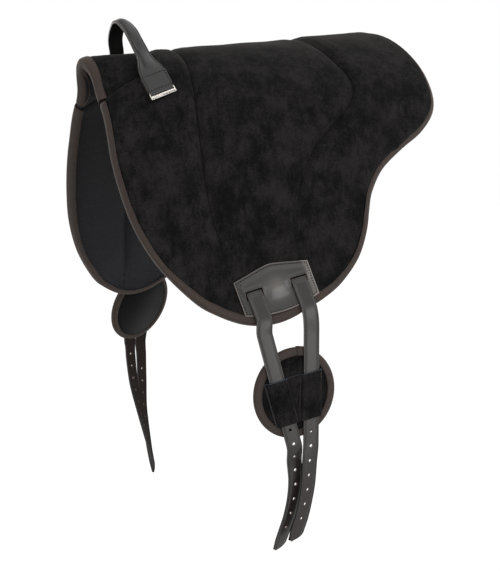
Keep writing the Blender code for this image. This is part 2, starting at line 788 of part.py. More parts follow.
def build_guards():
    for name in SIDES:
        frame = guard_frame(name)
        face, felt, lining, under = guard_levels()
        pieces = [
            disc(name + "_guard_face", frame, face, face - GUARD_SKIN, SUEDE),
            disc(name + "_guard_felt", frame, felt, felt - GUARD_FELT, FELT),
            disc(name + "_guard_lining", frame, lining, under, FELT),
        ]
        rings = []
        for gap in (TAPE_GAP, TAPE_GAP + TAPE):
            loop = [oval(frame, GUARD_TAPE_WING, face + gap), oval(frame, -gap, face + gap),
                    oval(frame, -gap, under - gap), oval(frame, GUARD_TAPE_WING, under - gap)]
            rings += loop if gap == TAPE_GAP else loop[::-1]
        sections = [[ring[k] for ring in rings] for k in range(GUARD_SIDE_COUNT)]
        pieces.append(tape(name + "_guard_binding", sections, [True] * GUARD_SIDE_COUNT, BINDING, closed=True))
        levels = (SLEEVE_TOP, -SLEEVE_BOTTOM)
        pieces.append(loft(name + "_guard_sleeve", [sleeve_ring(frame, level) for level in levels], SUEDE))
        for piece in pieces:
            set_pivot(piece, frame[0])


# Billets: punched leather straps that hang from the slots and pass through the guards

def smooth_route(stops, steps):
    """Places close together through (point, facing, straight) stops; straight runs straight on."""
    places = []
    last = len(stops) - 1
    for i in range(last):
        here, ahead = stops[i], stops[i + 1]
        behind, beyond = stops[max(i - 1, 0)], stops[min(i + 2, last)]
        leg = ahead[0] - here[0]
        leave = here[0] - behind[0] if behind[2] and i > 0 else ahead[0] - behind[0]
        arrive = beyond[0] - ahead[0] if ahead[2] else beyond[0] - here[0]
        leave, arrive = leave.normalized() * leg.length, arrive.normalized() * leg.length
        count = 1 if here[2] else steps
        for k in range(count):
            t = k / count
            point = (here[0] * (2.0 * t ** 3 - 3.0 * t ** 2 + 1.0) + leave * (t ** 3 - 2.0 * t ** 2 + t)
                     + ahead[0] * (3.0 * t ** 2 - 2.0 * t ** 3) + arrive * (t ** 3 - t ** 2))
            places.append((point, here[1].lerp(ahead[1], t)))
    places.append(stops[-1][:2])
    return places


def billet_stops(name, strap):
    """Stops of a billet from its slot, over the patch and tape, through the guard, to its tip."""
    side = SIDES[name]
    flap, guard = flap_frame(side), guard_frame(name)
    run = (-0.5 if strap == "front" else 0.5) * SLOT_SPACING
    low = FIT + 0.5 * STRAP
    high = FIT + PATCH + FIT + 0.5 * STRAP
    stops = [(at_flap(flap, run, HINGE_DROP, low), flap[3], True),
             (on_flap(flap, side, run, SLOT_HEIGHT - FIT, high), flap[3], True)]
    if name == "left":
        below = PATCH_DROP + PATCH_BOW + MARGIN
        stops.append((on_flap(flap, side, run, below, high + TAPE), flap[3], False))
    for up, straight in ((STRAIGHT_ABOVE[name][strap], True), (0.0, True), (-STRAIGHT_BELOW, False)):
        stops.append((at_guard(guard, line_at(strap, up), up, 0.0), guard[3], straight))
    end = stops[-1][0]
    left_over = STRAP_LENGTH - sum((b[0] - a[0]).length for a, b in zip(stops, stops[1:]))
    for back, out, down, toe in TAIL_SHARES[name][strap]:
        point = end + Vector((back, side * out, -down)) * left_over
        angle = math.radians(toe)
        stops.append((point, Vector((-math.sin(angle), side * math.cos(angle), 0.0)), False))
    return stops


def ribbon_frames(places):
    """The strap's middle, its edge-to-edge direction and its outward direction at each place."""
    frames = []
    for i, (point, facing) in enumerate(places):
        before, after = places[max(i - 1, 0)][0], places[min(i + 1, len(places) - 1)][0]
        forward = (after - before).normalized()
        across = forward.cross(facing).normalized()
        if across.x < 0.0:
            across = -across
        out = across.cross(forward).normalized()
        if out.dot(facing) < 0.0:
            out = -out
        frames.append((point, across, out))
    return frames


def strap_rings(frames, width, thickness):
    """Rectangular rings along a strap; its end is cut to a slanting round tip."""
    rings = []
    last = frames[-1][0]
    for point, across, out in frames:
        left = (last - point).length
        cut = max(0.0, 1.0 - left / TIP_LENGTH)
        front = 0.5 * width * (1.0 - 0.30 * cut ** 2)
        rear = 0.5 * width * (1.0 - 1.35 * cut ** 2)
        half = out * 0.5 * thickness
        rings.append([point - across * front + half, point + across * rear + half,
                      point + across * rear - half, point - across * front - half])
    return rings


def place_at(places, distance):
    """The place at a distance back from the end of a route."""
    for i in range(len(places) - 1, 0, -1):
        step = (places[i][0] - places[i - 1][0]).length
        if distance <= step:
            t = distance / step
            return places[i][0].lerp(places[i - 1][0], t), places[i][1].lerp(places[i - 1][1], t), i
        distance -= step
    return places[0][0], places[0][1], 1


def build_billets():
    for name in SIDES:
        for strap, holes in (("front", FRONT_HOLES), ("rear", REAR_HOLES)):
            places = smooth_route(billet_stops(name, strap), 3)
            tip = []
            for share in (0.66, 0.33, 0.12):
                point, facing, i = place_at(places, share * TIP_LENGTH)
                tip.append((point, facing))
            kept = [place for place in places[:-1] if (place[0] - places[-1][0]).length > TIP_LENGTH]
            frames = ribbon_frames(kept + tip + [places[-1]])
            label = name + "_" + strap + "_billet"
            item = loft(label, strap_rings(frames, STRAP_WIDTH, STRAP), LEATHER)
            punch(item, places, holes)
            set_pivot(item, at_flap(flap_frame(SIDES[name]), 0.0, HINGE_DROP, FIT + 0.5 * STRAP))


def punch(item, places, holes):
    """Cut the row of buckle holes, the last one two pitches from the tip."""
    shape = bmesh.new()
    for k in range(holes):
        point, facing, i = place_at(places, (k + 1.6) * HOLE_PITCH)
        forward = (places[i][0] - places[i - 1][0]).normalized()
        out = (facing - forward * facing.dot(forward)).normalized()
        turn = Vector((0.0, 0.0, 1.0)).rotation_difference(out).to_matrix().to_4x4()
        bmesh.ops.create_cone(
            shape, cap_ends=True, segments=8, radius1=0.5 * HOLE, radius2=0.5 * HOLE, depth=4.0 * STRAP,
            matrix=Matrix.Translation(point) @ turn)
    cutter = bpy.data.objects.new(item.name + "_punch", mesh_from(item.name + "_punch", shape))
    bpy.context.scene.collection.objects.link(cutter)
    cutter.hide_render = True
    cutter.display_type = "WIRE"
    cut = item.modifiers.new("holes", "BOOLEAN")
    cut.operation = "DIFFERENCE"
    cut.object = cutter


# Grab handle: a padded strap arched over the pommel, held at each end by a tab and a dee

def tab_frame(side):
    """Middle of a tab's underside, then the directions towards the tail, down and outwards."""
    x = (TAB_SHARES[0] - 0.5) * PAD_LENGTH
    turn = turn_of(x, TAB_SHARES[1] * FLAP_DROP) * side
    normal = outward(x, turn)
    middle = surface(x, turn) + normal * (PUFF_KNEE + FIT)
    tilt = Vector((math.cos(TAB_TILT), 0.0, math.sin(TAB_TILT)))
    run = (tilt - normal * tilt.dot(normal)).normalized()
    return middle, run, run.cross(normal) * -side, normal


def tab_gap():
    return DEE_BAR + 2.0 * FIT


def tab_bar():
    """How far below the middle of a tab the dee's bar lies in its fold."""
    return 0.5 * TAB_LENGTH - 0.5 * (tab_gap() + TAB_LEATHER)


def strip(name, places, widths, thickness, material):
    """A flat strip along (point, facing) places."""
    rings = []
    for (point, across, out), width in zip(ribbon_frames(places), widths):
        half, rise = across * 0.5 * width, out * 0.5 * thickness
        rings.append([point - half + rise, point + half + rise, point + half - rise, point - half - rise])
    return loft(name, rings, material)


def build_tab(name, side):
    frame = tab_frame(side)
    middle = TAB_LEATHER + 0.5 * tab_gap()
    radius = 0.5 * (tab_gap() + TAB_LEATHER)
    top, bar = -0.5 * TAB_LENGTH, tab_bar()
    shoulder = bar - 2.0 * radius
    rings = []
    stops = [(top, TAB_WIDTH, 90.0), (shoulder, TAB_WIDTH, 90.0), (bar - 0.5 * radius, TAB_FOLD_WIDTH, 90.0)]
    turns = [(bar, TAB_FOLD_WIDTH, 90.0 - 22.5 * k) for k in range(9)]
    back = [(down, width, -90.0) for down, width, angle in stops[::-1]]
    for down, width, angle in stops + turns + back:
        away = math.radians(angle)
        ring = []
        for edge, reach in ((-0.5, 0.5), (0.5, 0.5), (0.5, -0.5), (-0.5, -0.5)):
            arm = radius + reach * TAB_LEATHER
            ring.append(at_flap(frame, edge * width, down + arm * math.cos(away), middle + arm * math.sin(away)))
        rings.append(ring)
    loft(name + "_handle_tab", rings, LEATHER)


def build_dee(name, side):
    """A flat metal ring: its upper bar in the tab's fold, its wide lower plate below the leather."""
    frame = tab_frame(side)
    middle = TAB_LEATHER + 0.5 * tab_gap()
    bar = tab_bar()
    inner_low = bar + 0.5 * tab_gap() + TAB_LEATHER + FIT
    inner_high = bar + 0.5 * DEE_BAR
    outer = [(-0.5 * DEE_WIDTH, bar - 0.5 * DEE_BAR), (0.5 * DEE_WIDTH, bar - 0.5 * DEE_BAR),
             (0.5 * DEE_WIDTH, inner_low + DEE_PLATE), (-0.5 * DEE_WIDTH, inner_low + DEE_PLATE)]
    half = 0.5 * TAB_FOLD_WIDTH + FIT
    inner = [(-half, inner_high), (half, inner_high), (half, inner_low), (-half, inner_low)]
    rings = []
    for k in range(4):
        rings.append([at_flap(frame, *place, middle + rise * 0.5 * DEE_BAR)
                      for place, rise in ((outer[k], 1.0), (inner[k], 1.0), (inner[k], -1.0), (outer[k], -1.0))])
    item = loft(name + "_dee", rings, STEEL, closed=True)
    bevel = item.modifiers.new("edges", "BEVEL")
    bevel.width = DEE_BEVEL
    bevel.segments = 2
    set_pivot(item, at_flap(frame, 0.0, bar, middle))


def handle_route():
    """The strap's middle, from inside the left tab over the arch to inside the right one."""
    x = (HANDLE_TOP_SHARE - 0.5) * PAD_LENGTH
    top = Vector((x, 0.0, ridge_height(x) + HANDLE_RISE))
    middle = TAB_LEATHER + 0.5 * tab_gap()
    ends = {}
    for name, side in SIDES.items():
        frame = tab_frame(side)
        stops = []
        for out, down, back in ARCH_SHARES:
            facing = Vector((0.0, side * out, ARCH_CENTRE_SHARE - down)).normalized()
            stops.append((top + Vector((back, side * out, -down)) * HANDLE_RISE, facing))
        stops.append((at_flap(frame, 0.0, -0.5 * TAB_LENGTH, middle), frame[3]))
        stops.append((at_flap(frame, 0.0, tab_bar() - DEE_BAR - FIT, middle), frame[3]))
        ends[name] = stops
    stops = ends["left"][::-1] + [(top, Vector((0.0, 0.0, 1.0)))] + ends["right"]
    return [(point, facing, i in (0, len(stops) - 2)) for i, (point, facing) in enumerate(stops)]


def build_handle():
    places = smooth_route(handle_route(), 3)
    count = len(places)
    wide = [min(i, count - 1 - i) for i in range(count)]
    widths = [HANDLE_END if k <= 1 else HANDLE_WIDTH + (HANDLE_END - HANDLE_WIDTH) * max(0.0, (5 - k) / 4.0)
              for k in wide]
    strip("handle_strap", places, widths, HANDLE_LEATHER, LEATHER)
    frames = ribbon_frames(places)
    base = 0.5 * HANDLE_LEATHER + HANDLE_GAP
    core = [(-0.5, 0.0), (-0.36, 0.75), (0.0, 1.0), (0.36, 0.75), (0.5, 0.0)]
    core_rings, cover_rings = [], []
    for (point, across, out), width in list(zip(frames, widths))[3:-3]:
        core_rings.append([point + across * a * CORE_WIDTH + out * (base + h * CORE_HEIGHT) for a, h in core])
    for (point, across, out), width in list(zip(frames, widths))[2:-2]:
        gap = 2.0 * LAYER_GAP
        low = [(-0.5 * width, 0.0)] + [(a * (CORE_WIDTH + gap), h * (CORE_HEIGHT + LAYER_GAP)) for a, h in core]
        low.append((0.5 * width, 0.0))
        high = [(a, h + HANDLE_COVER) for a, h in low]
        cover_rings.append([point + across * a + out * (base + h) for a, h in low + high[::-1]])
    loft("handle_core", core_rings, FOAM)
    loft("handle_cover", cover_rings, LEATHER)
    for name, side in SIDES.items():
        build_tab(name, side)
        build_dee(name, side)


def main():
    build_cover()
    build_filling()
    build_bindings()
    build_girth_patches()
    build_guards()
    build_billets()
    build_handle()


main()
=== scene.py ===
import bisect
import collections
import math

import bmesh
import bpy
from mathutils import Matrix, Vector, noise


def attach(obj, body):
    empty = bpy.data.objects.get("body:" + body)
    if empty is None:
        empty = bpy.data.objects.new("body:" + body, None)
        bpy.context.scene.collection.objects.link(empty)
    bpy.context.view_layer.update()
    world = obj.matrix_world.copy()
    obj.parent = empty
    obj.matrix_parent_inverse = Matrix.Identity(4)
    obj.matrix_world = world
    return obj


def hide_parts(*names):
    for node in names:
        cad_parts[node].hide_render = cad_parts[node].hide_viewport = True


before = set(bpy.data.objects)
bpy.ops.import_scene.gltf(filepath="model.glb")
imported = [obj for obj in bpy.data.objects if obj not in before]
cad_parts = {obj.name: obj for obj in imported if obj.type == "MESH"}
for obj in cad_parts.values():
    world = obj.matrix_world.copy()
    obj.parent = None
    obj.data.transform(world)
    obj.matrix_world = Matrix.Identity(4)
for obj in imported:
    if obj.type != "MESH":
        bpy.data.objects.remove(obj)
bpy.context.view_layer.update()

scene = bpy.context.scene
scene.view_settings.view_transform = "Standard"


# ---- Studio: a pale floor well below the hanging straps, a pale world, large soft lamps and the
# camera, which stands low on the near side, ahead of the pommel, as for the photograph.

CAMERA_PLACE = Vector((-1.033, -1.850, -0.152))
CAMERA_TARGET = Vector((0.035, 0.0, -0.3957))
CAMERA_LENS = 77.94
SENSOR_WIDTH = 36.0
FLOOR_HEIGHT = -1.05
FLOOR_SIZE = 12.0
FLOOR_GLOW = 1.18
FLOOR_GLOW_SHARE = 0.83
WORLD_LIGHT = 0.42
LAMP_TARGET = Vector((0.0, 0.0, -0.3))
WHITE = (1.0, 1.0, 1.0, 1.0)

camera_data = bpy.data.cameras.new("camera")
camera_data.lens = CAMERA_LENS
camera_data.sensor_width = SENSOR_WIDTH
camera = bpy.data.objects.new("camera", camera_data)
scene.collection.objects.link(camera)
camera.location = CAMERA_PLACE
camera.rotation_mode = "QUATERNION"
camera.rotation_quaternion = (CAMERA_TARGET - CAMERA_PLACE).to_track_quat("-Z", "Y")
scene.camera = camera


def linear(colour):
    """An sRGB hex colour as linear RGBA."""
    parts = [int(colour[k:k + 2], 16) / 255.0 for k in (1, 3, 5)]
    return (*[p / 12.92 if p <= 0.04045 else ((p + 0.055) / 1.055) ** 2.4 for p in parts], 1.0)


def add_node(tree, kind, settings, links):
    """Add a node, set its properties and input values, and link its inputs."""
    made = tree.nodes.new("ShaderNode" + kind)
    for key, value in settings.items():
        if isinstance(key, str) and hasattr(made, key):
            setattr(made, key, value)
        else:
            made.inputs[key].default_value = value
    for key, source in links.items():
        tree.links.new(source, made.inputs[key])
    return made.outputs


def white_to_camera(tree, white, lit):
    """A surface that lights the scene as lit does, and is white to the camera, in metal and through glass."""
    path = add_node(tree, "LightPath", {}, {})
    glossy = add_node(tree, "Math", {"operation": "MAXIMUM"}, {0: path[0], 1: path["Is Glossy Ray"]})
    seen = add_node(tree, "Math", {"operation": "MAXIMUM"}, {0: glossy[0], 1: path["Is Transmission Ray"]})
    return add_node(tree, "MixShader", {}, {0: seen[0], 1: lit, 2: white})


world = bpy.data.worlds.new("studio")
scene.world = world
world.use_nodes = True
tree = world.node_tree
tree.nodes.clear()
dim = add_node(tree, "Background", {"Color": WHITE, "Strength": WORLD_LIGHT}, {})
bright = add_node(tree, "Background", {"Color": WHITE, "Strength": 1.0}, {})
mixed = white_to_camera(tree, bright[0], dim[0])
add_node(tree, "OutputWorld", {}, {0: mixed[0]})

floor_finish = bpy.data.materials.new("white paper floor")
floor_finish.use_nodes = True
tree = floor_finish.node_tree
tree.nodes.clear()
paper = add_node(tree, "BsdfDiffuse", {"Color": linear("#eeeeee")}, {})
glow = add_node(tree, "Emission", {"Color": WHITE, "Strength": FLOOR_GLOW}, {})
shaded = add_node(tree, "MixShader", {0: FLOOR_GLOW_SHARE}, {1: paper[0], 2: glow[0]})
mixed = white_to_camera(tree, shaded[0], paper[0])
add_node(tree, "OutputMaterial", {}, {0: mixed[0]})
bm = bmesh.new()
bmesh.ops.create_grid(bm, x_segments=1, y_segments=1, size=FLOOR_SIZE,
                      matrix=Matrix.Translation((0.0, 0.0, FLOOR_HEIGHT)))
mesh = bpy.data.meshes.new("floor")
bm.to_mesh(mesh)
bm.free()
mesh.materials.append(floor_finish)
floor = bpy.data.objects.new("floor", mesh)
scene.collection.objects.link(floor)

for name, place, size, power in (
        ("top lamp", (0.1, -0.7, 1.9), 2.4, 18.0),
        ("near lamp", (-2.2, -2.3, 0.9), 2.0, 31.0),
        ("low lamp", (0.35, -3.1, -0.35), 1.4, 27.0),
        ("tail lamp", (2.3, -1.6, 0.3), 1.6, 22.0),
        ("far lamp", (-0.6, 2.6, 0.9), 2.0, 18.0)):
    lamp_data = bpy.data.lights.new(name, "AREA")
    lamp_data.size = size
    lamp_data.energy = power
    lamp = bpy.data.objects.new(name, lamp_data)
    scene.collection.objects.link(lamp)
    lamp.location = place
    lamp.rotation_mode = "QUATERNION"
    lamp.rotation_quaternion = (LAMP_TARGET - Vector(place)).to_track_quat("-Z", "Y")


# ---- Suede cover: four panels of black split leather, sewn edge to edge over the foam, so that
# each one swells between its seams. The nap lies unevenly and catches the light in cloudy patches.

PAD_LENGTH = 0.550
FLAP_DROP = 0.420
PITCH = math.radians(6.0)
SPREAD_FRONT = 0.030
SPREAD_REAR = 0.168
ROUND_FRONT = 0.048
ROUND_REAR = 0.150
FLARE_SHARE = 0.36
SPREAD_BOW_SHARE = 0.45
PINCH = 0.015
PINCH_DROP = 0.050
PINCH_REACH = 0.028
PINCH_RUN = 0.060
RIDGE_BLEND = 0.006
SPINE_DEPTH = 0.010
EDGE_DEPTH = 0.012
COVER = 0.0025
SEAM_GAP = 0.0006
SEAM_REACH = 0.0082
HIDDEN_EDGE = 0.0022
PUFFS = {"pommel": 0.004, "knee": 0.008, "seat": 0.007, "cantle": 0.010}
LINING_PUFF = 0.008
PUFF_FADE = (0.44, 0.80)
LINING_PUFF_FADE = (0.78, 0.97)
LINING_PUFF_START = (0.04, 0.12)
POMMEL_FADE_SHARE = 0.2
SPINE_BLEND = (0.02, 0.06)
# Uneven cloth: the scale and height of its swells, the middle, reach and height of each roll beside
# a seam, and the scales along and down and the height of its puckers.
SWELLS = (22.0, 0.0011)
SEAM_ROLLS = ((0.012, 0.0030, 0.0006), (0.022, 0.0038, 0.0005))
PUCKERS = (60.0, 95.0, 0.0012)
PUCKER_START = 0.004
PUCKER_REACH = 0.016
BOTTOM_BOW_SHARE = 0.013
CORNER_SHARE = 0.216
LAST_SHARE = 0.996
CURVE_STEPS = 24
NORMAL_STEPS = (0.0011, 0.02)
SIDE_CROWDING = 0.70
UV_PER_TURN = 1.5
FRONT_TOP_SHARES = [(0.000, 0.000), (0.004, 0.020), (0.010, 0.050), (0.018, 0.110), (0.021, 0.158)]
SEAM_A_SHARES = [
    (0.222, 0.000), (0.205, 0.024), (0.175, 0.056), (0.135, 0.086), (0.095, 0.107),
    (0.055, 0.138), (0.022, 0.172),
]
FRONT_LOW_SHARES = [
    (0.022, 0.172), (0.023, 0.271), (0.024, 0.381), (0.035, 0.507), (0.058, 0.638),
    (0.104, 0.771), (0.180, 0.902), (0.238, 0.960), (0.288, 0.994),
]
SEAM_1_SHARES = [
    (0.291, 0.000), (0.284, 0.036), (0.271, 0.131), (0.265, 0.286), (0.258, 0.481),
    (0.262, 0.636), (0.276, 0.760), (0.290, 0.870), (0.302, 1.000),
]
SEAM_2_SHARES = [
    (0.718, 0.000), (0.724, 0.060), (0.740, 0.150), (0.738, 0.205), (0.718, 0.252),
    (0.680, 0.304), (0.627, 0.357), (0.578, 0.417), (0.542, 0.490), (0.509, 0.583),
    (0.490, 0.690), (0.486, 0.800), (0.489, 0.967),
]
REAR_SHARES = [
    (1.000, 0.000), (0.999, 0.060), (0.996, 0.190), (0.978, 0.307), (0.924, 0.388),
    (0.849, 0.445), (0.775, 0.512), (0.728, 0.593), (0.709, 0.657), (0.690, 0.731),
    (0.652, 0.821), (0.589, 0.902), (0.545, 0.938), (0.504, 0.963),
]


def new_finish(name, settings):
    """A material with one Principled shader, whose sockets are set from the settings."""
    finish = bpy.data.materials.new(name)
    finish.use_nodes = True
    shader = finish.node_tree.nodes["Principled BSDF"]
    for key, value in settings.items():
        shader.inputs[key].default_value = value
    return finish, finish.node_tree, shader


def per_metre(millimetres):
    """The scale of a texture whose features have this size."""
    return 1000.0 / millimetres


def grain(tree, vector, millimetres, detail, roughness, distortion=0.0):
    """A noise whose features have this size."""
    return add_node(tree, "TexNoise", {
        "Scale": per_metre(millimetres), "Detail": detail, "Roughness": roughness, "Distortion": distortion,
    }, {"Vector": vector})[0]


def blend(tree, share, first, second):
    return add_node(tree, "Mix", {"data_type": "FLOAT", 0: share}, {2: first, 3: second})[0]


def colour_between(tree, shader, dark, light, share):
    """Colour a shader from one hex colour to another."""
    tone = add_node(tree, "Mix", {"data_type": "RGBA", 6: linear(dark), 7: linear(light)}, {0: share})
    tree.links.new(tone[2], shader.inputs["Base Color"])


def raise_surface(tree, shader, strength, distance, height):
    bump = add_node(tree, "Bump", {"Strength": strength, "Distance": distance}, {"Height": height})
    tree.links.new(bump[0], shader.inputs["Normal"])


def smooth_step(low, high, value):
    t = min(max((value - low) / (high - low), 0.0), 1.0)
    return t * t * (3.0 - 2.0 * t)


def pad_spread(x):
    u = x / PAD_LENGTH + 0.5
    share = u * (1.0 + SPREAD_BOW_SHARE) - SPREAD_BOW_SHARE * u * u
    return SPREAD_FRONT + (SPREAD_REAR - SPREAD_FRONT) * share


def pad_rounding(x):
    return ROUND_FRONT + (ROUND_REAR - ROUND_FRONT) * (x / PAD_LENGTH + 0.5)


def ridge_height(x):
    return SPINE_DEPTH + x * math.tan(PITCH)


def half_width(x, drop):
    share = min(drop / pad_rounding(x), 1.0)
    arch = pad_spread(x) * math.sqrt(max(1.0 - (1.0 - share) ** 2, 0.0))
    front = x + 0.5 * PAD_LENGTH
    pinch = PINCH * math.exp(-((drop - PINCH_DROP) / PINCH_REACH) ** 2 - (front / PINCH_RUN) ** 2)
    return arch + FLARE_SHARE * drop - pinch * (1.0 - math.exp(-((drop / RIDGE_BLEND) ** 2)))


def turn_of(x, drop):
    share = drop / pad_rounding(x)
    if share < 1.0:
        return math.acos(1.0 - share) * 2.0 / math.pi
    return 1.0 + (share - 1.0) * 2.0 / math.pi


def drop_of(x, turn):
    if turn < 1.0:
        return pad_rounding(x) * (1.0 - math.cos(turn * math.pi / 2.0))
    return pad_rounding(x) * (1.0 + (turn - 1.0) * math.pi / 2.0)


def on_form(x, turn):
    """A point of the form that the cover is sewn to; a turn below zero is on the near side."""
    drop = drop_of(x, abs(turn))
    return Vector((x, math.copysign(half_width(x, drop), turn), ridge_height(x) - drop))


def out_of_form(x, turn):
    step_x, step_turn = NORMAL_STEPS
    run = on_form(x + step_x, turn) - on_form(x - step_x, turn)
    fall = on_form(x, turn + step_turn) - on_form(x, turn - step_turn)
    return run.cross(fall).normalized()


def seam_line(shares):
    """A smooth seam through the given places, as a function of the share of its length."""
    knots = []
    for along, down in shares:
        x = (along - 0.5) * PAD_LENGTH
        knots.append(Vector((x, turn_of(x, down * FLAP_DROP))))
    fine = []
    for i, (b, c) in enumerate(zip(knots, knots[1:])):
        a, d = knots[max(i - 1, 0)], knots[min(i + 2, len(knots) - 1)]
        for k in range(CURVE_STEPS):
            t = k / CURVE_STEPS
            fine.append(0.5 * (2.0 * b + (c - a) * t + (2.0 * a - 5.0 * b + 4.0 * c - d) * t * t
                               + (3.0 * b - a - 3.0 * c + d) * t ** 3))
    fine.append(knots[-1])
    runs = [0.0]
    for a, b in zip(fine, fine[1:]):
        runs.append(runs[-1] + (on_form(*b) - on_form(*a)).length)

    def at(share):
        target = share * runs[-1]
        k = min(max(bisect.bisect_left(runs, target), 1), len(runs) - 1)
        return fine[k - 1].lerp(fine[k], (target - runs[k - 1]) / (runs[k] - runs[k - 1]))
    return at


front_top, seam_a, front_low = (seam_line(s) for s in (FRONT_TOP_SHARES, SEAM_A_SHARES, FRONT_LOW_SHARES))
seam_1, seam_2, rear_edge = (seam_line(s) for s in (SEAM_1_SHARES, SEAM_2_SHARES, REAR_SHARES))


def knee_front(share):
    """The knee panel's front side: seam A down to the corner, then the flap's front edge."""
    if share < CORNER_SHARE:
        return seam_a(share / CORNER_SHARE)
    return front_low((share - CORNER_SHARE) / (1.0 - CORNER_SHARE))


# A panel's front and rear sides, its columns, the rows of its cover and of its lining, how far down
# the knee panel's front it reaches, and the share of its own length at which its grid ends.
Panel = collections.namedtuple("Panel", "front rear columns rows lining_rows reach last")
PANELS = {
    "pommel": Panel(front_top, seam_a, 18, 60, 36, CORNER_SHARE, 1.0),
    "knee": Panel(knee_front, seam_1, 44, 220, 130, 1.0, LAST_SHARE),
    "seat": Panel(seam_1, seam_2, 56, 220, 130, 1.0, LAST_SHARE),
    "cantle": Panel(seam_2, rear_edge, 52, 220, 130, 1.0, LAST_SHARE),
}


def puff_at(name, share):
    """How far the cover and the lining swell out at a share of the way down a panel."""
    down = share * PANELS[name].reach
    fade = 1.0 - smooth_step(*PUFF_FADE, down)
    low_fade = (1.0 - smooth_step(*LINING_PUFF_FADE, down)) * smooth_step(*LINING_PUFF_START, down)
    if name == "pommel":
        end = min((1.0 - share) / POMMEL_FADE_SHARE, 1.0)
        fade, low_fade = fade * end, low_fade * end
    return PUFFS[name] * fade, LINING_PUFF * low_fade


def rise_from_seam(distance):
    return 1.0 - math.exp(-max(distance, 0.0) / SEAM_REACH)


def pad_cell(name, across, down):
    """Place (x, turn) of a panel's cell, with the swell of its cover and the depth of its lining."""
    panel = PANELS[name]
    side, share = math.copysign(1.0, down), abs(down)
    front, rear = panel.front(share), panel.rear(share)
    width = (on_form(*rear) - on_form(*front)).length
    bound_front = name == "pommel" or (name == "knee" and share >= CORNER_SHARE)
    start = HIDDEN_EDGE if bound_front else 0.5 * SEAM_GAP
    end = HIDDEN_EDGE if name == "cantle" else 0.5 * SEAM_GAP
    u = (start + (width - start - end) * across) / width
    place = front.lerp(rear, u)
    if name == "seat":
        bow = 4.0 * u * (1.0 - u) * max(0.0, 2.0 * share - 1.0) ** 2
        place.y = turn_of(place.x, drop_of(place.x, place.y) + bow * BOTTOM_BOW_SHARE * FLAP_DROP)
    puff, low_puff = puff_at(name, share)
    rear_rise = rise_from_seam((1.0 - u) * width)
    low_edge = 1.0 if name == "pommel" else rear_rise
    low_edge *= rise_from_seam(u * width + (SEAM_REACH if name == "pommel" else 0.0))
    spine = smooth_step(*SPINE_BLEND, share * panel.reach)
    depth = SPINE_DEPTH + (EDGE_DEPTH - SPINE_DEPTH) * spine + low_puff * low_edge
    near_seam = min(u, 1.0 - u) * width
    return place.x, place.y * side, puff * rise_from_seam(u * width) * rear_rise, depth, near_seam


def fabric_unrest(point, near_seam):
    """Soft unevenness of stuffed cloth: broad swells, and puckers that die out away from a seam."""
    broad = noise.noise(point * SWELLS[0]) * SWELLS[1]
    rolls = sum(height * math.exp(-((near_seam - middle) / reach) ** 2)
                for middle, reach, height in SEAM_ROLLS)
    around, down, height = PUCKERS
    pucker = noise.noise(Vector((point.x * around, point.y * around, point.z * down))) * height
    return broad + rolls + pucker * math.exp(-near_seam / PUCKER_REACH) * min(near_seam / PUCKER_START, 1.0)


def unit_grid(bm, columns, rows):
    """The vertices of a flat grid of cells that runs from 0 to 1 both ways."""
    middle = Matrix.Translation((0.5, 0.5, 0.0))
    return bmesh.ops.create_grid(bm, x_segments=columns, y_segments=rows, size=0.5, matrix=middle)["verts"]


def set_uv(bm, places):
    """Give each corner of a mesh's faces the UV of its vertex."""
    flat = bm.loops.layers.uv.verify()
    for face in bm.faces:
        for loop in face.loops:
            loop[flat].uv = places[loop.vert]


def sheet_grid(bm, columns, rows, first, last):
    """A flat grid of cells from 0 to 1 across and from first to last down, denser at its sides."""
    verts = unit_grid(bm, columns, rows)
    for v in verts:
        t = v.co.x
        across = t - SIDE_CROWDING * math.sin(2.0 * math.pi * t) / (2.0 * math.pi)
        v.co = Vector((across, first + (last - first) * v.co.y, 0.0))
    return verts


def lay_sheet(bm, columns, rows, panel, first, last, height, unrest):
    """A sheet over a panel, from first to last down it, at a layer's height, with metres as its UV."""
    places = {}
    for v in sheet_grid(bm, columns, rows, first, last):
        x, turn, puff, depth, near_seam = pad_cell(panel, v.co.x, v.co.y)
        point, normal = on_form(x, turn), out_of_form(x, turn)
        places[v] = (x, turn * pad_rounding(x) * UV_PER_TURN)
        v.co = point + normal * (height(puff, depth) + unrest * fabric_unrest(point, near_seam))
    set_uv(bm, places)


def put(name, bm, finishes, body, stands_for=()):
    """Make a piece of a mesh: its finishes, its body and the solids it stands for."""
    mesh = bpy.data.meshes.new(name)
    bm.to_mesh(mesh)
    bm.free()
    for finish in finishes:
        mesh.materials.append(finish)
    mesh.shade_smooth()
    piece = bpy.data.objects.new(name, mesh)
    scene.collection.objects.link(piece)
    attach(piece, body)
    if stands_for:
        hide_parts(*stands_for)
    return piece


def thicken(piece, thickness, offset, rim_finish=0, back_finish=0):
    solid = piece.modifiers.new("thickness", "SOLIDIFY")
    solid.material_offset = back_finish
    solid.thickness = thickness
    solid.offset = offset
    solid.material_offset_rim = rim_finish


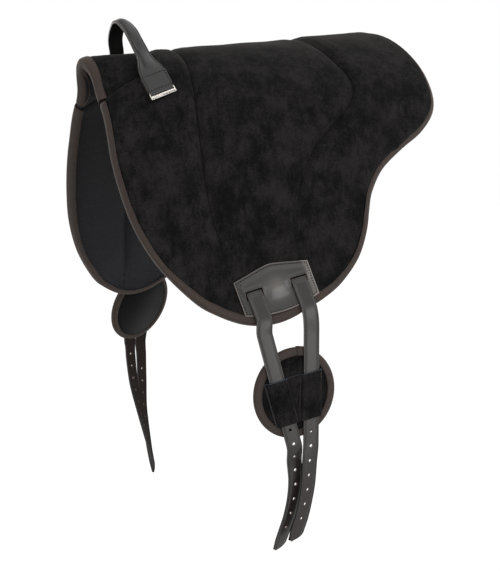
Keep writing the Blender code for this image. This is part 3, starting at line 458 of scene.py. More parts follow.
# Suede: split hide, brushed. Deep matt black with a short nap that greys where it is stroked up.
suede, tree, shader = new_finish("brushed black suede", {
    "Roughness": 0.93, "Specular IOR Level": 0.12, "Sheen Weight": 0.08, "Sheen Roughness": 0.40,
    "Sheen Tint": linear("#9a9690")})
coords = add_node(tree, "TexCoord", {}, {})
clouds = grain(tree, coords["Object"], 42, 4.0, 0.62)
stroked = add_node(tree, "Mapping", {"Rotation": (0.5, 0.3, 0.4), "Scale": (1.0, 1.0, 0.32)},
                   {"Vector": coords["Object"]})
strokes = grain(tree, stroked[0], 9, 5.0, 0.7, 0.6)
fibres = grain(tree, coords["Object"], 2.4, 3.0, 0.8)
shade = blend(tree, 0.34, blend(tree, 0.42, clouds, strokes), fibres)
nap = add_node(tree, "MapRange", {"From Min": 0.445, "From Max": 0.575}, {"Value": shade})
colour_between(tree, shader, "#020202", "#1f1d1d", nap[0])
raise_surface(tree, shader, 0.35, 0.0006, blend(tree, 0.35, strokes, fibres))

for name, panel in PANELS.items():
    bm = bmesh.new()
    lay_sheet(bm, panel.columns, panel.rows, name, -panel.last, panel.last, lambda puff, depth: puff, 1.0)
    piece = put(name + "_cover", bm, [suede], "pad", [name + "_panel"])
    thicken(piece, COVER, -1.0)


# ---- Foam: a sheet of soft charcoal foam in each half of the pad, shut in between cover and lining.

LINING = 0.0030
LAYER_GAP = 0.0005
SPINE_SHARE = 0.042
SIDES = {"left": -1.0, "right": 1.0}

foam, tree, shader = new_finish("charcoal polyether foam", {"Roughness": 0.95, "Specular IOR Level": 0.2})
coords = add_node(tree, "TexCoord", {}, {})
cells = add_node(tree, "TexVoronoi", {"Scale": per_metre(1.6)}, {"Vector": coords["Object"]})
colour_between(tree, shader, "#17171a", "#242428", cells[0])
raise_surface(tree, shader, 0.5, 0.0005, cells[0])


def merge_in(bm, other):
    """Copy another mesh into this one."""
    mesh = bpy.data.meshes.new("part")
    other.to_mesh(mesh)
    other.free()
    bm.from_mesh(mesh)
    bpy.data.meshes.remove(mesh)


def fill_between(bm, panel, first, last, rows, top, bottom):
    """Add a closed body of a panel's shape, between two layer heights."""
    part = bmesh.new()
    low = part.verts.layers.float_vector.new("low")
    for v in sheet_grid(part, 14, rows, first, last):
        x, turn, puff, depth, near_seam = pad_cell(panel, v.co.x, v.co.y)
        point, normal = on_form(x, turn), out_of_form(x, turn)
        v.co = point + normal * top(puff, depth)
        v[low] = point + normal * bottom(puff, depth)
    made = bmesh.ops.extrude_face_region(part, geom=part.faces[:])
    for v in made["geom"]:
        if isinstance(v, bmesh.types.BMVert):
            v.co = v[low]
    bmesh.ops.recalc_face_normals(part, faces=part.faces)
    merge_in(bm, part)


for side_name, side in SIDES.items():
    bm = bmesh.new()
    for name, panel in PANELS.items():
        fill_between(bm, name, SPINE_SHARE / panel.reach * side, panel.last * side, 50,
                     lambda puff, depth: puff - COVER - LAYER_GAP,
                     lambda puff, depth: LINING + LAYER_GAP - depth)
    piece = put(side_name + "_foam_sheet", bm, [foam], "pad", [side_name + "_foam"])


# ---- Lining: black spacer mesh under each half, quilted through at the seams and swollen between
# them. It is knitted in fine slanting ribs that shine a little on their crowns.

LINING_UNREST = 0.5
WELD_REACH = 1.2


def bands(tree, vector, spacing, settings):
    """Even bands, this far apart in metres: a wave texture of scale 1 repeats every 0.314."""
    return add_node(tree, "TexWave", {"Scale": 0.314 / spacing, **settings}, {"Vector": vector})[0]


mesh_cloth, tree, shader = new_finish("knitted spacer mesh", {
    "Roughness": 0.60, "Specular IOR Level": 0.12, "Sheen Weight": 0.05, "Sheen Roughness": 0.35,
    "Sheen Tint": linear("#b0b0b6")})
coords = add_node(tree, "TexCoord", {}, {})
slant = add_node(tree, "Mapping", {"Rotation": (0.0, 0.0, math.radians(52.0))}, {"Vector": coords["UV"]})
cross = add_node(tree, "Mapping", {"Rotation": (0.0, 0.0, math.radians(-38.0))}, {"Vector": coords["UV"]})
# The ribs of the real knit are about 1 mm apart; they are drawn at 3 mm, the finest that still shows.
ribs = bands(tree, slant[0], 0.0030, {"Distortion": 0.4, "Detail": 1.0, "Detail Scale": 3.0})
knit = blend(tree, 0.28, ribs, bands(tree, cross[0], 0.0017, {}))
# The colour is darker in the grooves between the ribs and lighter on their crowns: painted shade and
# highlight.
colour_between(tree, shader, "#000000", "#232327", knit)
raise_surface(tree, shader, 0.9, 0.0010, knit)

for side_name, side in SIDES.items():
    bm = bmesh.new()
    for name, panel in PANELS.items():
        part = bmesh.new()
        lay_sheet(part, panel.columns // 2, panel.lining_rows, name, SPINE_SHARE / panel.reach * side,
                  panel.last * side, lambda puff, depth: -depth, LINING_UNREST)
        if side > 0.0:
            bmesh.ops.reverse_faces(part, faces=part.faces)
        merge_in(bm, part)
    bmesh.ops.remove_doubles(bm, verts=bm.verts, dist=SEAM_GAP * WELD_REACH)
    piece = put(side_name + "_mesh_lining", bm, [mesh_cloth], "pad", [side_name + "_lining"])
    thicken(piece, LINING - LAYER_GAP, -1.0)


# ---- Spine strip: a band of dense black webbing over a firm core, sewn under the whole ridge.

STRIP_INSET_SHARE = 0.003

webbing, tree, shader = new_finish("black spine webbing", {"Roughness": 0.85, "Specular IOR Level": 0.3})
coords = add_node(tree, "TexCoord", {}, {})
weave = bands(tree, coords["Object"], 0.0022, {"Distortion": 0.6})
weft = bands(tree, coords["Object"], 0.0016, {"bands_direction": "Y", "Distortion": 0.4})
both = add_node(tree, "Math", {"operation": "MULTIPLY"}, {0: weave, 1: weft})
colour_between(tree, shader, "#0c0c0d", "#2a2a2c", both[0])
raise_surface(tree, shader, 0.6, 0.0006, both[0])

bm = bmesh.new()
for name, panel in PANELS.items():
    edge = (SPINE_SHARE - STRIP_INSET_SHARE) / panel.reach
    fill_between(bm, name, -edge, edge, 20, lambda puff, depth: puff - COVER - LAYER_GAP,
                 lambda puff, depth: -SPINE_DEPTH)
put("spine_webbing", bm, [webbing], "pad", ["spine_strip"])


# ---- Edge tape: dark brown-grey grosgrain, folded over every raw edge and stitched through both
# wings. One run goes round the flaps and the cantle, another over the front of the pommel.

TAPE = 0.0012
TAPE_GAP = 0.0005
TAPE_WING = 0.0072
LOW_TAPE_WING = 0.0112
LOW_TAPE_SHARES = (0.80, 0.95)
LOWER_WING_SHARE = 0.70
POMMEL_WING = 0.0125
FOLD_RADIUS = 0.0032
WING_MARGIN = 0.0018
THREAD = 0.0006
STITCH_PITCH = 0.0036
STITCH_SHARE = 0.72
STITCH_HEIGHT_SHARE = 0.42
SPINE_END_TURN = 0.1
TAPE_POINTS = 22
TAPE_POINT_STEP = 0.0016
# Scale and height of the noise that moves the tape's face, and the edges of its wings.
TAPE_RIPPLE = (120.0, 0.00025)
TAPE_WAVER = (40.0, 0.0006)
WELD = 0.00001
POMMEL_FRAMES = 44

grosgrain, tree, shader = new_finish("brown-grey grosgrain", {
    "Roughness": 0.68, "Specular IOR Level": 0.3, "Sheen Weight": 0.14, "Sheen Roughness": 0.4,
    "Sheen Tint": linear("#b8a698")})
coords = add_node(tree, "TexCoord", {}, {})
# The cross ribs of the real tape are about 1 mm apart; they are drawn at 1.6 mm.
ribs = bands(tree, coords["UV"], 0.0016, {"Distortion": 0.25, "Detail": 1.0})
wear = grain(tree, coords["Object"], 6, 5.0, 0.75)
# Its colour is darker in the grooves between the ribs and lighter on their crowns, painted shade and
# highlight, mixed with a random mottle.
colour_between(tree, shader, "#150f0c", "#40342e", blend(tree, 0.5, ribs, wear))
raise_surface(tree, shader, 0.55, 0.0005, ribs)

# Waxed black thread: the darkest thing on the pad, sunk in its holes.
thread, tree, shader = new_finish("waxed black thread", {
    "Base Color": linear("#050505"), "Roughness": 0.75, "Specular IOR Level": 0.08})


def edge_stations():
    """Places (x, turn) and both swells round one half, from the pommel's corner to the ridge."""
    stops = []

    def run(count, place, panel, first, last, bow=0.0):
        for k in range(count):
            t = k / count
            here = place(t)
            if bow:
                here.y = turn_of(here.x, drop_of(here.x, here.y) + 4.0 * t * (1.0 - t) * bow)
            stops.append((here, *puff_at(panel, first + (last - first) * t)))
    run(110, front_low, "knee", CORNER_SHARE, 1.0)
    run(3, lambda t: front_low(1.0).lerp(seam_1(1.0), t), "knee", 1.0, 1.0)
    run(30, lambda t: seam_1(1.0).lerp(seam_2(1.0), t), "seat", 1.0, 1.0, BOTTOM_BOW_SHARE * FLAP_DROP)
    run(3, lambda t: seam_2(1.0).lerp(rear_edge(1.0), t), "cantle", 1.0, 1.0)
    run(170, lambda t: rear_edge(1.0 - t), "cantle", 1.0, 0.0)
    stops.append((rear_edge(0.0), *puff_at("cantle", 0.0)))
    for _ in range(4):
        stops = [stops[0]] + [((a[0] + b[0] * 2.0 + c[0]) / 4.0, b[1], b[2])
                              for a, b, c in zip(stops, stops[1:], stops[2:])] + [stops[-1]]
    return stops


def both_halves(stops):
    """The near half's stops up to the ridge, then the far half's, back down."""
    return [(Vector((p.x, -p.y)), a, b) for p, a, b in stops] + stops[-2::-1]


def edge_frames(stops):
    """The edge's point, its inward and outward directions, its swells and its depth, along the stops."""
    points = [on_form(place.x, place.y) for place, puff, low_puff in stops]
    frames = []
    for i, (place, puff, low_puff) in enumerate(stops):
        tangent = (points[min(i + 1, len(points) - 1)] - points[max(i - 1, 0)]).normalized()
        normal = out_of_form(place.x, place.y)
        inward = normal.cross(tangent).normalized()
        depth = SPINE_DEPTH + (EDGE_DEPTH - SPINE_DEPTH) * smooth_step(0.0, SPINE_END_TURN, abs(place.y))
        frames.append((points[i], inward, normal, puff, low_puff, depth))
    return frames


def tape_section(puff, low_puff, depth, wing, radius, unrest):
    """(inward, outward) offsets round a folded tape, from the tip of its upper wing to its lower one's."""
    low_wing = LOWER_WING_SHARE * wing
    round_fold = radius + TAPE_GAP
    section = []
    for k in range(6):
        d = wing - (wing - radius) * k / 6.0
        section.append((d, puff * rise_from_seam(d) + TAPE_GAP + unrest))
    for k in range(5):
        angle = math.pi * (0.5 + 0.5 * k / 4.0)
        section.append((radius + round_fold * math.cos(angle), -radius + round_fold * math.sin(angle)
                        + puff * rise_from_seam(radius) * (1.0 - k / 4.0)))
    for k in range(5):
        angle = math.pi * (1.0 + 0.5 * k / 4.0)
        section.append((radius + round_fold * math.cos(angle), radius - depth + round_fold * math.sin(angle)
                        - low_puff * rise_from_seam(radius) * k / 4.0))
    for k in range(1, 7):
        d = radius + (low_wing - radius) * k / 6.0
        section.append((d, -depth - low_puff * rise_from_seam(d) - TAPE_GAP - unrest))
    return section


def face_out(bm, place, out):
    """Turn a sheet's faces so that they look along a direction near a place."""
    bm.normal_update()
    face = min(bm.faces, key=lambda f: (f.calc_center_median() - place).length)
    if face.normal.dot(out) < 0.0:
        bmesh.ops.reverse_faces(bm, faces=bm.faces[:])


def lay_tape(frames, wing, radius, closed=False):
    """Bend a flat grid round the folded section at each frame; its UV runs along and across in metres."""
    sections = []
    run = 0.0
    for i, (point, inward, normal, puff, low_puff, depth) in enumerate(frames):
        if i:
            run += (point - frames[i - 1][0]).length
        ripple = noise.noise(point * TAPE_RIPPLE[0]) * TAPE_RIPPLE[1]
        width = wing(point) if callable(wing) else wing
        width += noise.noise(point * TAPE_WAVER[0]) * TAPE_WAVER[1]
        section = tape_section(puff, low_puff, depth, width, radius, ripple)
        sections.append((run, [point + inward * d + normal * h for d, h in section]))
    if closed:
        sections.append((run + (frames[0][0] - frames[-1][0]).length, sections[0][1]))
    bm = bmesh.new()
    places = {}
    for v in unit_grid(bm, len(sections) - 1, TAPE_POINTS - 1):
        i, j = round(v.co.x * (len(sections) - 1)), round(v.co.y * (TAPE_POINTS - 1))
        places[v] = (sections[i][0], TAPE_POINT_STEP * j)
        v.co = sections[i][1][j]
    set_uv(bm, places)
    if closed:
        bmesh.ops.remove_doubles(bm, verts=bm.verts, dist=WELD)
    face_out(bm, frames[0][0] + frames[0][2], frames[0][2])
    return bm


def put_tape(name, bm, body, stands_for=()):
    thicken(put(name, bm, [grosgrain], body, stands_for), TAPE, 1.0)


def sew(name, runs, body, pitch=STITCH_PITCH, size=THREAD, finish=thread, share=STITCH_SHARE):
    """Rows of stitches, each a short sunk bead of thread, along runs of (point, outward) places."""
    bm = bmesh.new()
    for places in runs:
        ahead = 0.0
        for (a, normal), (b, _) in zip(places, places[1:]):
            step = (b - a).length
            while ahead < step:
                point = a.lerp(b, ahead / step)
                along = (b - a).normalized()
                side = normal.cross(along).normalized()
                turn = Matrix((along, side, along.cross(side))).transposed().to_4x4()
                shape = Matrix.Diagonal((0.5 * share * pitch, 0.5 * size, STITCH_HEIGHT_SHARE * size, 1.0))
                bmesh.ops.create_icosphere(
                    bm, subdivisions=1, radius=1.0, matrix=Matrix.Translation(point) @ turn @ shape)
                ahead += pitch
            ahead -= step
    put(name, bm, [finish], body)


def edge_wing(point):
    """How far the tape reaches in: further along the bottom of the flap than up its front and back."""
    low = smooth_step(LOW_TAPE_SHARES[0] * FLAP_DROP, LOW_TAPE_SHARES[1] * FLAP_DROP, -point.z)
    return TAPE_WING + (LOW_TAPE_WING - TAPE_WING) * low


frames_round = edge_frames(both_halves(edge_stations()))
put_tape("edge_tape", lay_tape(frames_round, edge_wing, FOLD_RADIUS), "pad", ["edge_binding"])
upper_run, lower_run = [], []
for p, i, n, a, b, d in frames_round:
    sewn = edge_wing(p) - WING_MARGIN
    upper_run.append((p + i * sewn + n * (a * rise_from_seam(sewn) + TAPE_GAP + TAPE), n))
    sewn = LOWER_WING_SHARE * edge_wing(p) - WING_MARGIN
    lower_run.append((p + i * sewn - n * (d + b * rise_from_seam(sewn) + TAPE_GAP + TAPE), n))
sew("edge_stitching", [upper_run, lower_run], "pad")

top = []
for k in range(POMMEL_FRAMES + 1):
    share = 1.0 - k / POMMEL_FRAMES
    top.append((front_top(share), *puff_at("pommel", share)))
frames_top = [(p, -i if i.x < 0.0 else i, n, a, b, d) for p, i, n, a, b, d in edge_frames(both_halves(top))]
put_tape("pommel_tape", lay_tape(frames_top, POMMEL_WING, FOLD_RADIUS), "pad", ["pommel_binding"])
sewn = POMMEL_WING - WING_MARGIN
swell = rise_from_seam(sewn)
sew("pommel_stitching", [
    [(p + i * sewn + n * (a * swell + TAPE_GAP + TAPE), n) for p, i, n, a, b, d in frames_top],
], "pad")


# ---- Girth patches: a five-sided patch of smooth dark leather on each flap, stitched all round,
# with two slots. The girth straps are sewn down behind it, and it bulges over them.

PATCH = 0.0025
PATCH_WIDTH = 0.124
PATCH_CORNER_RISE = 0.018
PATCH_PEAK_RISE = 0.032
PATCH_DROP = 0.0325
PATCH_BOW = 0.004
PATCH_REACH = 0.0042
PATCH_SAG = 0.0062
PEAK_ROUNDING = 0.0064
STRAP = 0.0035
SLOT_SPACING = 0.074
SLOT_LENGTH = 0.0275
SLOT_HEIGHT = 0.0145
SLOT_LIP = 0.0016
SLOT_RIM = 0.003
RIM_LIFT = 0.0012
RIM_FADE = (0.0005, 0.0045)
BULGE = 0.0022
BULGE_MIDDLE = 0.0095
BULGE_REACH = (0.0175, 0.0155)
# How strongly a highlight is painted over the bulge, and the span over which one is painted along the patch's
# rear side.
BULGE_HIGHLIGHT = 0.85
REAR_HIGHLIGHT = (-0.002, 0.005)
LIFT_FADE = 0.008
LIFT_START = (0.004, 0.014)
LIFT_MIDDLE = 0.010
LIFT_MIDDLE_SHARE = 0.95
LIFT_LOW = (0.004, PATCH_DROP - 0.006)
LIFT_SIDES = (0.040, 0.052)
SLOT_SLANT_SHARE = 0.17
SLOT_SHARES = (0.399, 0.875)
FIT = 0.0005
PATCH_STITCH_INSET = 0.0030
LEATHER_PITCH = 0.0042
LEATHER_THREAD = 0.0021
LEATHER_STITCH_SHARE = 0.55
SOFT_EDGE = 0.0006
SOFT_ANGLE = math.radians(35.0)

leather_settings = {
    "Roughness": 0.36, "Specular IOR Level": 0.30, "Coat Weight": 0.16, "Coat Roughness": 0.26}


def colour_over(tree, shader, colour, share):
    """Mix a hex colour over the one that a shader has."""
    under = shader.inputs["Base Color"].links[0].from_socket
    tone = add_node(tree, "Mix", {"data_type": "RGBA", 7: linear(colour)}, {0: share, 6: under})
    tree.links.new(tone[2], shader.inputs["Base Color"])


def dye_leather(name, dark, light, worn):
    """Smooth drum-dyed leather: satin, faintly mottled, its grain only just raised. It is lighter where
    scuffed, and where a float attribute of the mesh paints a highlight.
    """
    finish, tree, shader = new_finish(name, leather_settings)
    coords = add_node(tree, "TexCoord", {}, {})
    pores = add_node(tree, "TexVoronoi", {"feature": "SMOOTH_F1", "Scale": per_metre(0.9)},
                     {"Vector": coords["Object"]})
    scuffs = grain(tree, coords["Object"], 5, 6.0, 0.75)
    scuffed = add_node(tree, "MapRange", {"From Min": 0.62, "From Max": 0.82, "To Max": 0.5},
                       {"Value": scuffs})
    # A float attribute of the patch's mesh paints a highlight into the colour here.
    painted_highlight_attribute = add_node(tree, "Attribute", {"attribute_name": "painted_highlight"}, {})
    wear_and_highlight_share = add_node(tree, "Math", {"operation": "MAXIMUM"}, {0: scuffed[0], 1: painted_highlight_attribute["Fac"]})
    colour_between(tree, shader, dark, light, grain(tree, coords["Object"], 26, 3.0, 0.55))
    colour_over(tree, shader, worn, wear_and_highlight_share[0])
    shine = add_node(tree, "MapRange", {"To Min": 0.30, "To Max": 0.44}, {"Value": scuffs})
    tree.links.new(shine[0], shader.inputs["Roughness"])
    raise_surface(tree, shader, 0.22, 0.0003, pores[0])
    return finish, tree, shader


# Bridle leather, dyed dark grey. The dye has worn lighter along its border, and its cut edges are raw.
patch_leather, tree, shader = dye_leather("dark grey bridle leather", "#262524", "#32312f", "#5a5653")
edge_paint, tree, shader = dye_leather("worn painted leather edge", "#54504e", "#68635f", "#7f7974")
raw_edge, tree, shader = dye_leather("raw cut leather edge", "#4e3a2e", "#74594a", "#94796a")


def flap_frame(side):
    """Middle of the slots, then the directions along the slots, down the flap and outwards."""
    middle = (SLOT_SHARES[0] - 0.5) * PAD_LENGTH
    drop = SLOT_SHARES[1] * FLAP_DROP
    points = []
    for run in (-0.5 * SLOT_SPACING, 0.0, 0.5 * SLOT_SPACING):
        points.append(on_form(middle + run, turn_of(middle + run, drop - SLOT_SLANT_SHARE * run) * side))
    run = (points[2] - points[0]).normalized()
    normal = out_of_form(middle, turn_of(middle, drop) * side)
    normal = (normal - run * normal.dot(run)).normalized()
    return points[1], run, run.cross(normal) * -side, normal


def in_axes(axes, along, down, out):
    """A point at these distances from a frame's middle, along its three directions."""
    return axes[0] + axes[1] * along + axes[2] * down + axes[3] * out


def on_flap(flap, side, along, down, out):
    """A point on the curved flap, at a height over it, with the direction outwards there."""
    flat = in_axes(flap, along, down, 0.0)
    turn = turn_of(flat.x, ridge_height(flat.x) - flat.z) * side
    normal = out_of_form(flat.x, turn)
    return on_form(flat.x, turn) + normal * out, normal


def between(stations, counts):
    """Positions from station to station, each stretch cut into its own count of equal steps."""
    places = []
    for a, b, count in zip(stations, stations[1:], counts):
        places += [a + (b - a) * k / count for k in range(count)]
    return places + [stations[-1]]


def patch_top(along):
    share = 1.0 - math.sqrt(along * along + PEAK_ROUNDING ** 2) / (0.5 * PATCH_WIDTH)
    return -(PATCH_CORNER_RISE + (PATCH_PEAK_RISE - PATCH_CORNER_RISE) * max(share, 0.0))


def patch_bottom(along):
    return PATCH_DROP + PATCH_BOW * (1.0 - (2.0 * along / PATCH_WIDTH) ** 2)


def patch_end(along):
    """The lower edge of the leather, which reaches down to the tape."""
    return patch_bottom(along) + PATCH_REACH + PATCH_SAG * (1.0 - (2.0 * along / PATCH_WIDTH) ** 2)


def patch_swell(along, down):
    """The broad soft bulge between the two slots, from 0 to 1."""
    return math.exp(-(along / BULGE_REACH[0]) ** 2 - ((down - BULGE_MIDDLE) / BULGE_REACH[1]) ** 2)


def patch_lift(along, down):
    """How far the patch stands off the flap: over the sewn strap ends, and in a soft bulge between them."""
    a = abs(along)
    slot_middle = 0.5 * SLOT_SPACING
    over_strap = 1.0 - smooth_step(0.5 * SLOT_LENGTH, 0.5 * SLOT_LENGTH + LIFT_FADE, abs(a - slot_middle))
    middle = 1.0 - smooth_step(LIFT_MIDDLE, 0.5 * (SLOT_SPACING - SLOT_LENGTH), a)
    start = smooth_step(*LIFT_START, down - patch_top(along))
    end = 1.0 - smooth_step(0.0, SLOT_HEIGHT, down)
    low = 1.0 - smooth_step(*LIFT_LOW, down)
    sides = 1.0 - smooth_step(*LIFT_SIDES, a)
    bulge = max(over_strap * end, middle * low * LIFT_MIDDLE_SHARE, sides * end)
    beside, past = abs(a - slot_middle) - 0.5 * SLOT_LENGTH, max(-down, down - SLOT_HEIGHT)
    beyond = math.hypot(max(beside, 0.0), max(past, 0.0))
    rim = 1.0 - smooth_step(*RIM_FADE, beyond)
    fade = 1.0 - smooth_step(0.5 * SLOT_HEIGHT, SLOT_HEIGHT, down)
    return (STRAP + FIT) * bulge * start + RIM_LIFT * rim * fade + BULGE * patch_swell(along, down)


def put_leather(name, bm, finishes, body, stands_for, thickness, offset, rim_finish, back_finish=0):
    """Make a piece of leather, its edges rounded a little."""
    piece = put(name, bm, finishes, body, stands_for)
    thicken(piece, thickness, offset, rim_finish, back_finish)
    bevel = piece.modifiers.new("soft edges", "BEVEL")
    bevel.width = SOFT_EDGE
    bevel.segments = 2
    bevel.limit_method = "ANGLE"
    bevel.angle_limit = SOFT_ANGLE
    bevel.harden_normals = True


def sew_leather(name, runs, size=LEATHER_THREAD):
    """Coarse stitching, with a wide gap after each stitch."""
    sew(name, runs, "pad", LEATHER_PITCH, size, share=LEATHER_STITCH_SHARE)


slot_inner = 0.5 * (SLOT_SPACING - SLOT_LENGTH)
slot_outer = 0.5 * (SLOT_SPACING + SLOT_LENGTH)
for side_name, side in SIDES.items():
    flap = flap_frame(side)
    border = 0.5 * PATCH_WIDTH
    columns = between([-border, -slot_outer, -slot_inner, 0.0, slot_inner, slot_outer, border],
                      (8, 18, 14, 14, 18, 8))
    rows = between([0.0, 1.0, 2.0, 3.0], (20, 10, 13))
    bm = bmesh.new()
    # A float attribute that paints a highlight into the leather's colour: over the bulge between the slots,
    # and along the patch's rear side.
    painted_highlight = bm.verts.layers.float.new("painted_highlight")
    spots = {}
    for v in unit_grid(bm, len(columns) - 1, len(rows) - 1):
        a, level = columns[round(v.co.x * (len(columns) - 1))], rows[round(v.co.y * (len(rows) - 1))]
        levels = (patch_top(a), SLOT_LIP, SLOT_HEIGHT, patch_end(a))
        k = min(int(level), 2)
        down = levels[k] + (levels[k + 1] - levels[k]) * (level - k)
        spots[v] = (a, down)
        v[painted_highlight] = max(BULGE_HIGHLIGHT * patch_swell(a, down), smooth_step(*REAR_HIGHLIGHT, a - slot_outer))
        v.co, normal = on_flap(flap, side, a, down, FIT + patch_lift(a, down))
    in_slot = []
    for face in bm.faces:
        a = sum(abs(spots[v][0]) for v in face.verts) / 4.0
        down = sum(spots[v][1] for v in face.verts) / 4.0
        if slot_inner < a < slot_outer and SLOT_LIP < down < SLOT_HEIGHT:
            in_slot.append(face)
        elif (slot_inner - SLOT_RIM < a < slot_outer + SLOT_RIM
              and -SLOT_RIM < down < SLOT_HEIGHT + SLOT_RIM):
            face.material_index = 1
        elif any(v.is_boundary for v in face.verts):
            face.material_index = 2
    bmesh.ops.delete(bm, geom=in_slot, context="FACES")
    face_out(bm, flap[0], flap[3])
    put_leather(side_name + "_patch", bm, [patch_leather, patch_leather, edge_paint, raw_edge], "pad",
                [side_name + "_girth_patch"], PATCH, 1.0, 2)

    inset = PATCH_STITCH_INSET
    half_patch = 0.5 * PATCH_WIDTH - inset
    outline = [-half_patch + 2.0 * half_patch * k / 60.0 for k in range(61)]
    loop = [(a, patch_top(a) + inset * 1.1) for a in outline]
    fall = patch_end(half_patch) - patch_top(half_patch)
    loop += [(half_patch, patch_top(half_patch) + fall * k / 20.0) for k in range(2, 19)]
    loop += [(a, patch_end(a) - inset) for a in outline[::-1]]
    loop += [(-half_patch, patch_top(half_patch) + fall * (1.0 - k / 20.0)) for k in range(2, 19)]
    loop.append(loop[0])
    run = [on_flap(flap, side, a, d, FIT + patch_lift(a, d) + PATCH) for a, d in loop]
    sew_leather(side_name + "_patch_stitching", [run])
    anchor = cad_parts[side_name + "_billet_anchor"]
    anchor.data.materials.clear()
    anchor.data.materials.append(patch_leather)


# ---- Buckle guards: an oval pad on each side, of suede over felt, bound with wide tape. A suede
# sleeve is stitched across its face in four lines, and the two girth straps pass through it.

GUARD_WIDTH = 0.128
GUARD_HEIGHT = 0.140
GUARD_TURN = math.radians(-20.0)
GUARD_INSET = 0.001
GUARD_CROWN = 0.0004
GUARD_FRAMES = 96
GUARD_WING = 0.0108
GUARD_FOLD = 0.0030
LAP_FRAMES = slice(25, 30)
LAP_WING = 0.0118
LAP_FOLD = 0.0042
LAP_GAP = 0.0002
GUARD_SEWN = (0.0088, 0.0056)
GUARD_FELT = 0.0040
GUARD_SKIN = 0.0015
SLEEVE = 0.0015
SLEEVE_TOP = 0.027
SLEEVE_BOTTOM = 0.046
SLEEVE_SLANT_SHARE = 0.22
CHANNEL = 0.0326
SLEEVE_LAND = 0.0022
SLEEVE_FALL = 0.0142
SLEEVE_COLUMNS = 64
SLEEVE_ROWS = 34
SLEEVE_SLACK = (70.0, 0.0003)
SLEEVE_LIP = 0.0006
SLEEVE_EASE = 0.0004
SLEEVE_PITCH = 0.0030
SLEEVE_THREAD = 0.0010
SLEEVE_STITCH_END = 0.001
FRONT_LINE_MIDDLE = -0.0250
FRONT_LINE_SLANT_SHARE = 0.277
REAR_LINE_MIDDLE = 0.0253
LEFT_GUARD_PLACE = (0.0213, 0.0290, 0.1700)
LEFT_GUARD_TOE = math.radians(12.0)
RIGHT_GUARD_PLACE = (-0.006, 0.102)
RIGHT_GUARD_ROLL = math.radians(-4.4)
GUARD_FACE = -(0.5 * STRAP + FIT + TAPE + TAPE_GAP)
GUARD_BACK = GUARD_FACE - 2.0 * GUARD_SKIN - 2.0 * TAPE_GAP - GUARD_FELT

# The sleeve is sewn with a greyer thread, which shows as four fine lines.
seam_thread, tree, shader = new_finish("grey-brown sewing thread", {
    "Base Color": linear("#4f4b49"), "Roughness": 0.6, "Specular IOR Level": 0.4})
cut_edge, tree, shader = new_finish("blue-grey cut suede edge", {
    "Base Color": linear("#4a5a66"), "Roughness": 0.9, "Specular IOR Level": 0.2})
felt, tree, shader = new_finish("charcoal wool felt", {
    "Roughness": 0.95, "Specular IOR Level": 0.12, "Sheen Weight": 0.08, "Sheen Roughness": 0.5})
coords = add_node(tree, "TexCoord", {}, {})
wool = grain(tree, coords["Object"], 2.2, 5.0, 0.75)
colour_between(tree, shader, "#070708", "#161617", wool)
raise_surface(tree, shader, 0.5, 0.0006, wool)


def guard_frame(name):
    """Middle of the guard, then the directions towards the tail, up and outwards."""
    side = SIDES[name]
    flap = flap_frame(side)
    if name == "left":
        back, out, down = LEFT_GUARD_PLACE
        across = Vector((math.cos(LEFT_GUARD_TOE), side * math.sin(LEFT_GUARD_TOE), 0.0))
        rise = Vector((0.0, 0.0, 1.0))
        return flap[0] + Vector((back, side * out, -down)), across, rise, rise.cross(across) * side
    normal = flap[3]
    level = Vector((normal.y, -normal.x, 0.0)).normalized()
    upright = level.cross(normal).normalized() * side
    across = level * math.cos(RIGHT_GUARD_ROLL) - upright * math.sin(RIGHT_GUARD_ROLL)
    rise = upright * math.cos(RIGHT_GUARD_ROLL) + level * math.sin(RIGHT_GUARD_ROLL)
    height = FIT + PATCH + FIT - GUARD_BACK + TAPE_GAP + 1.5 * TAPE
    return in_axes(flap, *RIGHT_GUARD_PLACE, height), across, rise, normal


def on_oval(angle, inset):
    """Across and up on the guard's outline, drawn in all round by the inset."""
    a = (0.5 * GUARD_WIDTH - inset) * math.cos(angle)
    b = (0.5 * GUARD_HEIGHT - inset) * math.sin(angle)
    turn_cos, turn_sin = math.cos(GUARD_TURN), math.sin(GUARD_TURN)
    return a * turn_cos - b * turn_sin, a * turn_sin + b * turn_cos


def guard_disc(guard, high, low, crown=0.0):
    """An oval disc: a ring of cells drawn in step by step, then given its thickness."""
    bm = bmesh.new()
    bmesh.ops.create_circle(bm, cap_ends=True, segments=72, radius=1.0)
    for _ in range(7):
        widest = max(bm.faces, key=lambda f: len(f.verts))
        bmesh.ops.inset_region(bm, faces=[widest], thickness=0.12)
    made = bmesh.ops.extrude_face_region(bm, geom=bm.faces[:])
    under = {v for v in made["geom"] if isinstance(v, bmesh.types.BMVert)}
    for v in bm.verts:
        share = min(math.hypot(v.co.x, v.co.y), 1.0)
        across, up = on_oval(math.atan2(v.co.y, v.co.x), 0.0)
        height = low if v in under else high + crown * (1.0 - share ** 2)
        keep = share * (1.0 - 2.0 * GUARD_INSET / GUARD_HEIGHT)
        v.co = in_axes(guard, across * keep, up * keep, height)
    bmesh.ops.recalc_face_normals(bm, faces=bm.faces)
    return bm


def strap_line(strap, up):
    """Where a strap's middle runs across the guard, at a height up it."""
    if strap == "front":
        return FRONT_LINE_MIDDLE - FRONT_LINE_SLANT_SHARE * up
    return REAR_LINE_MIDDLE


def sleeve_height(across, up):
    """Height of the sleeve's underside: raised over each strap, sewn down beside it."""
    land, roof = GUARD_FACE + TAPE_GAP, 0.5 * STRAP + FIT
    away = min(abs(across - strap_line(strap, up)) for strap in ("front", "rear"))
    return land + (roof - land) * (1.0 - smooth_step(SLEEVE_FALL, 0.5 * CHANNEL, away))


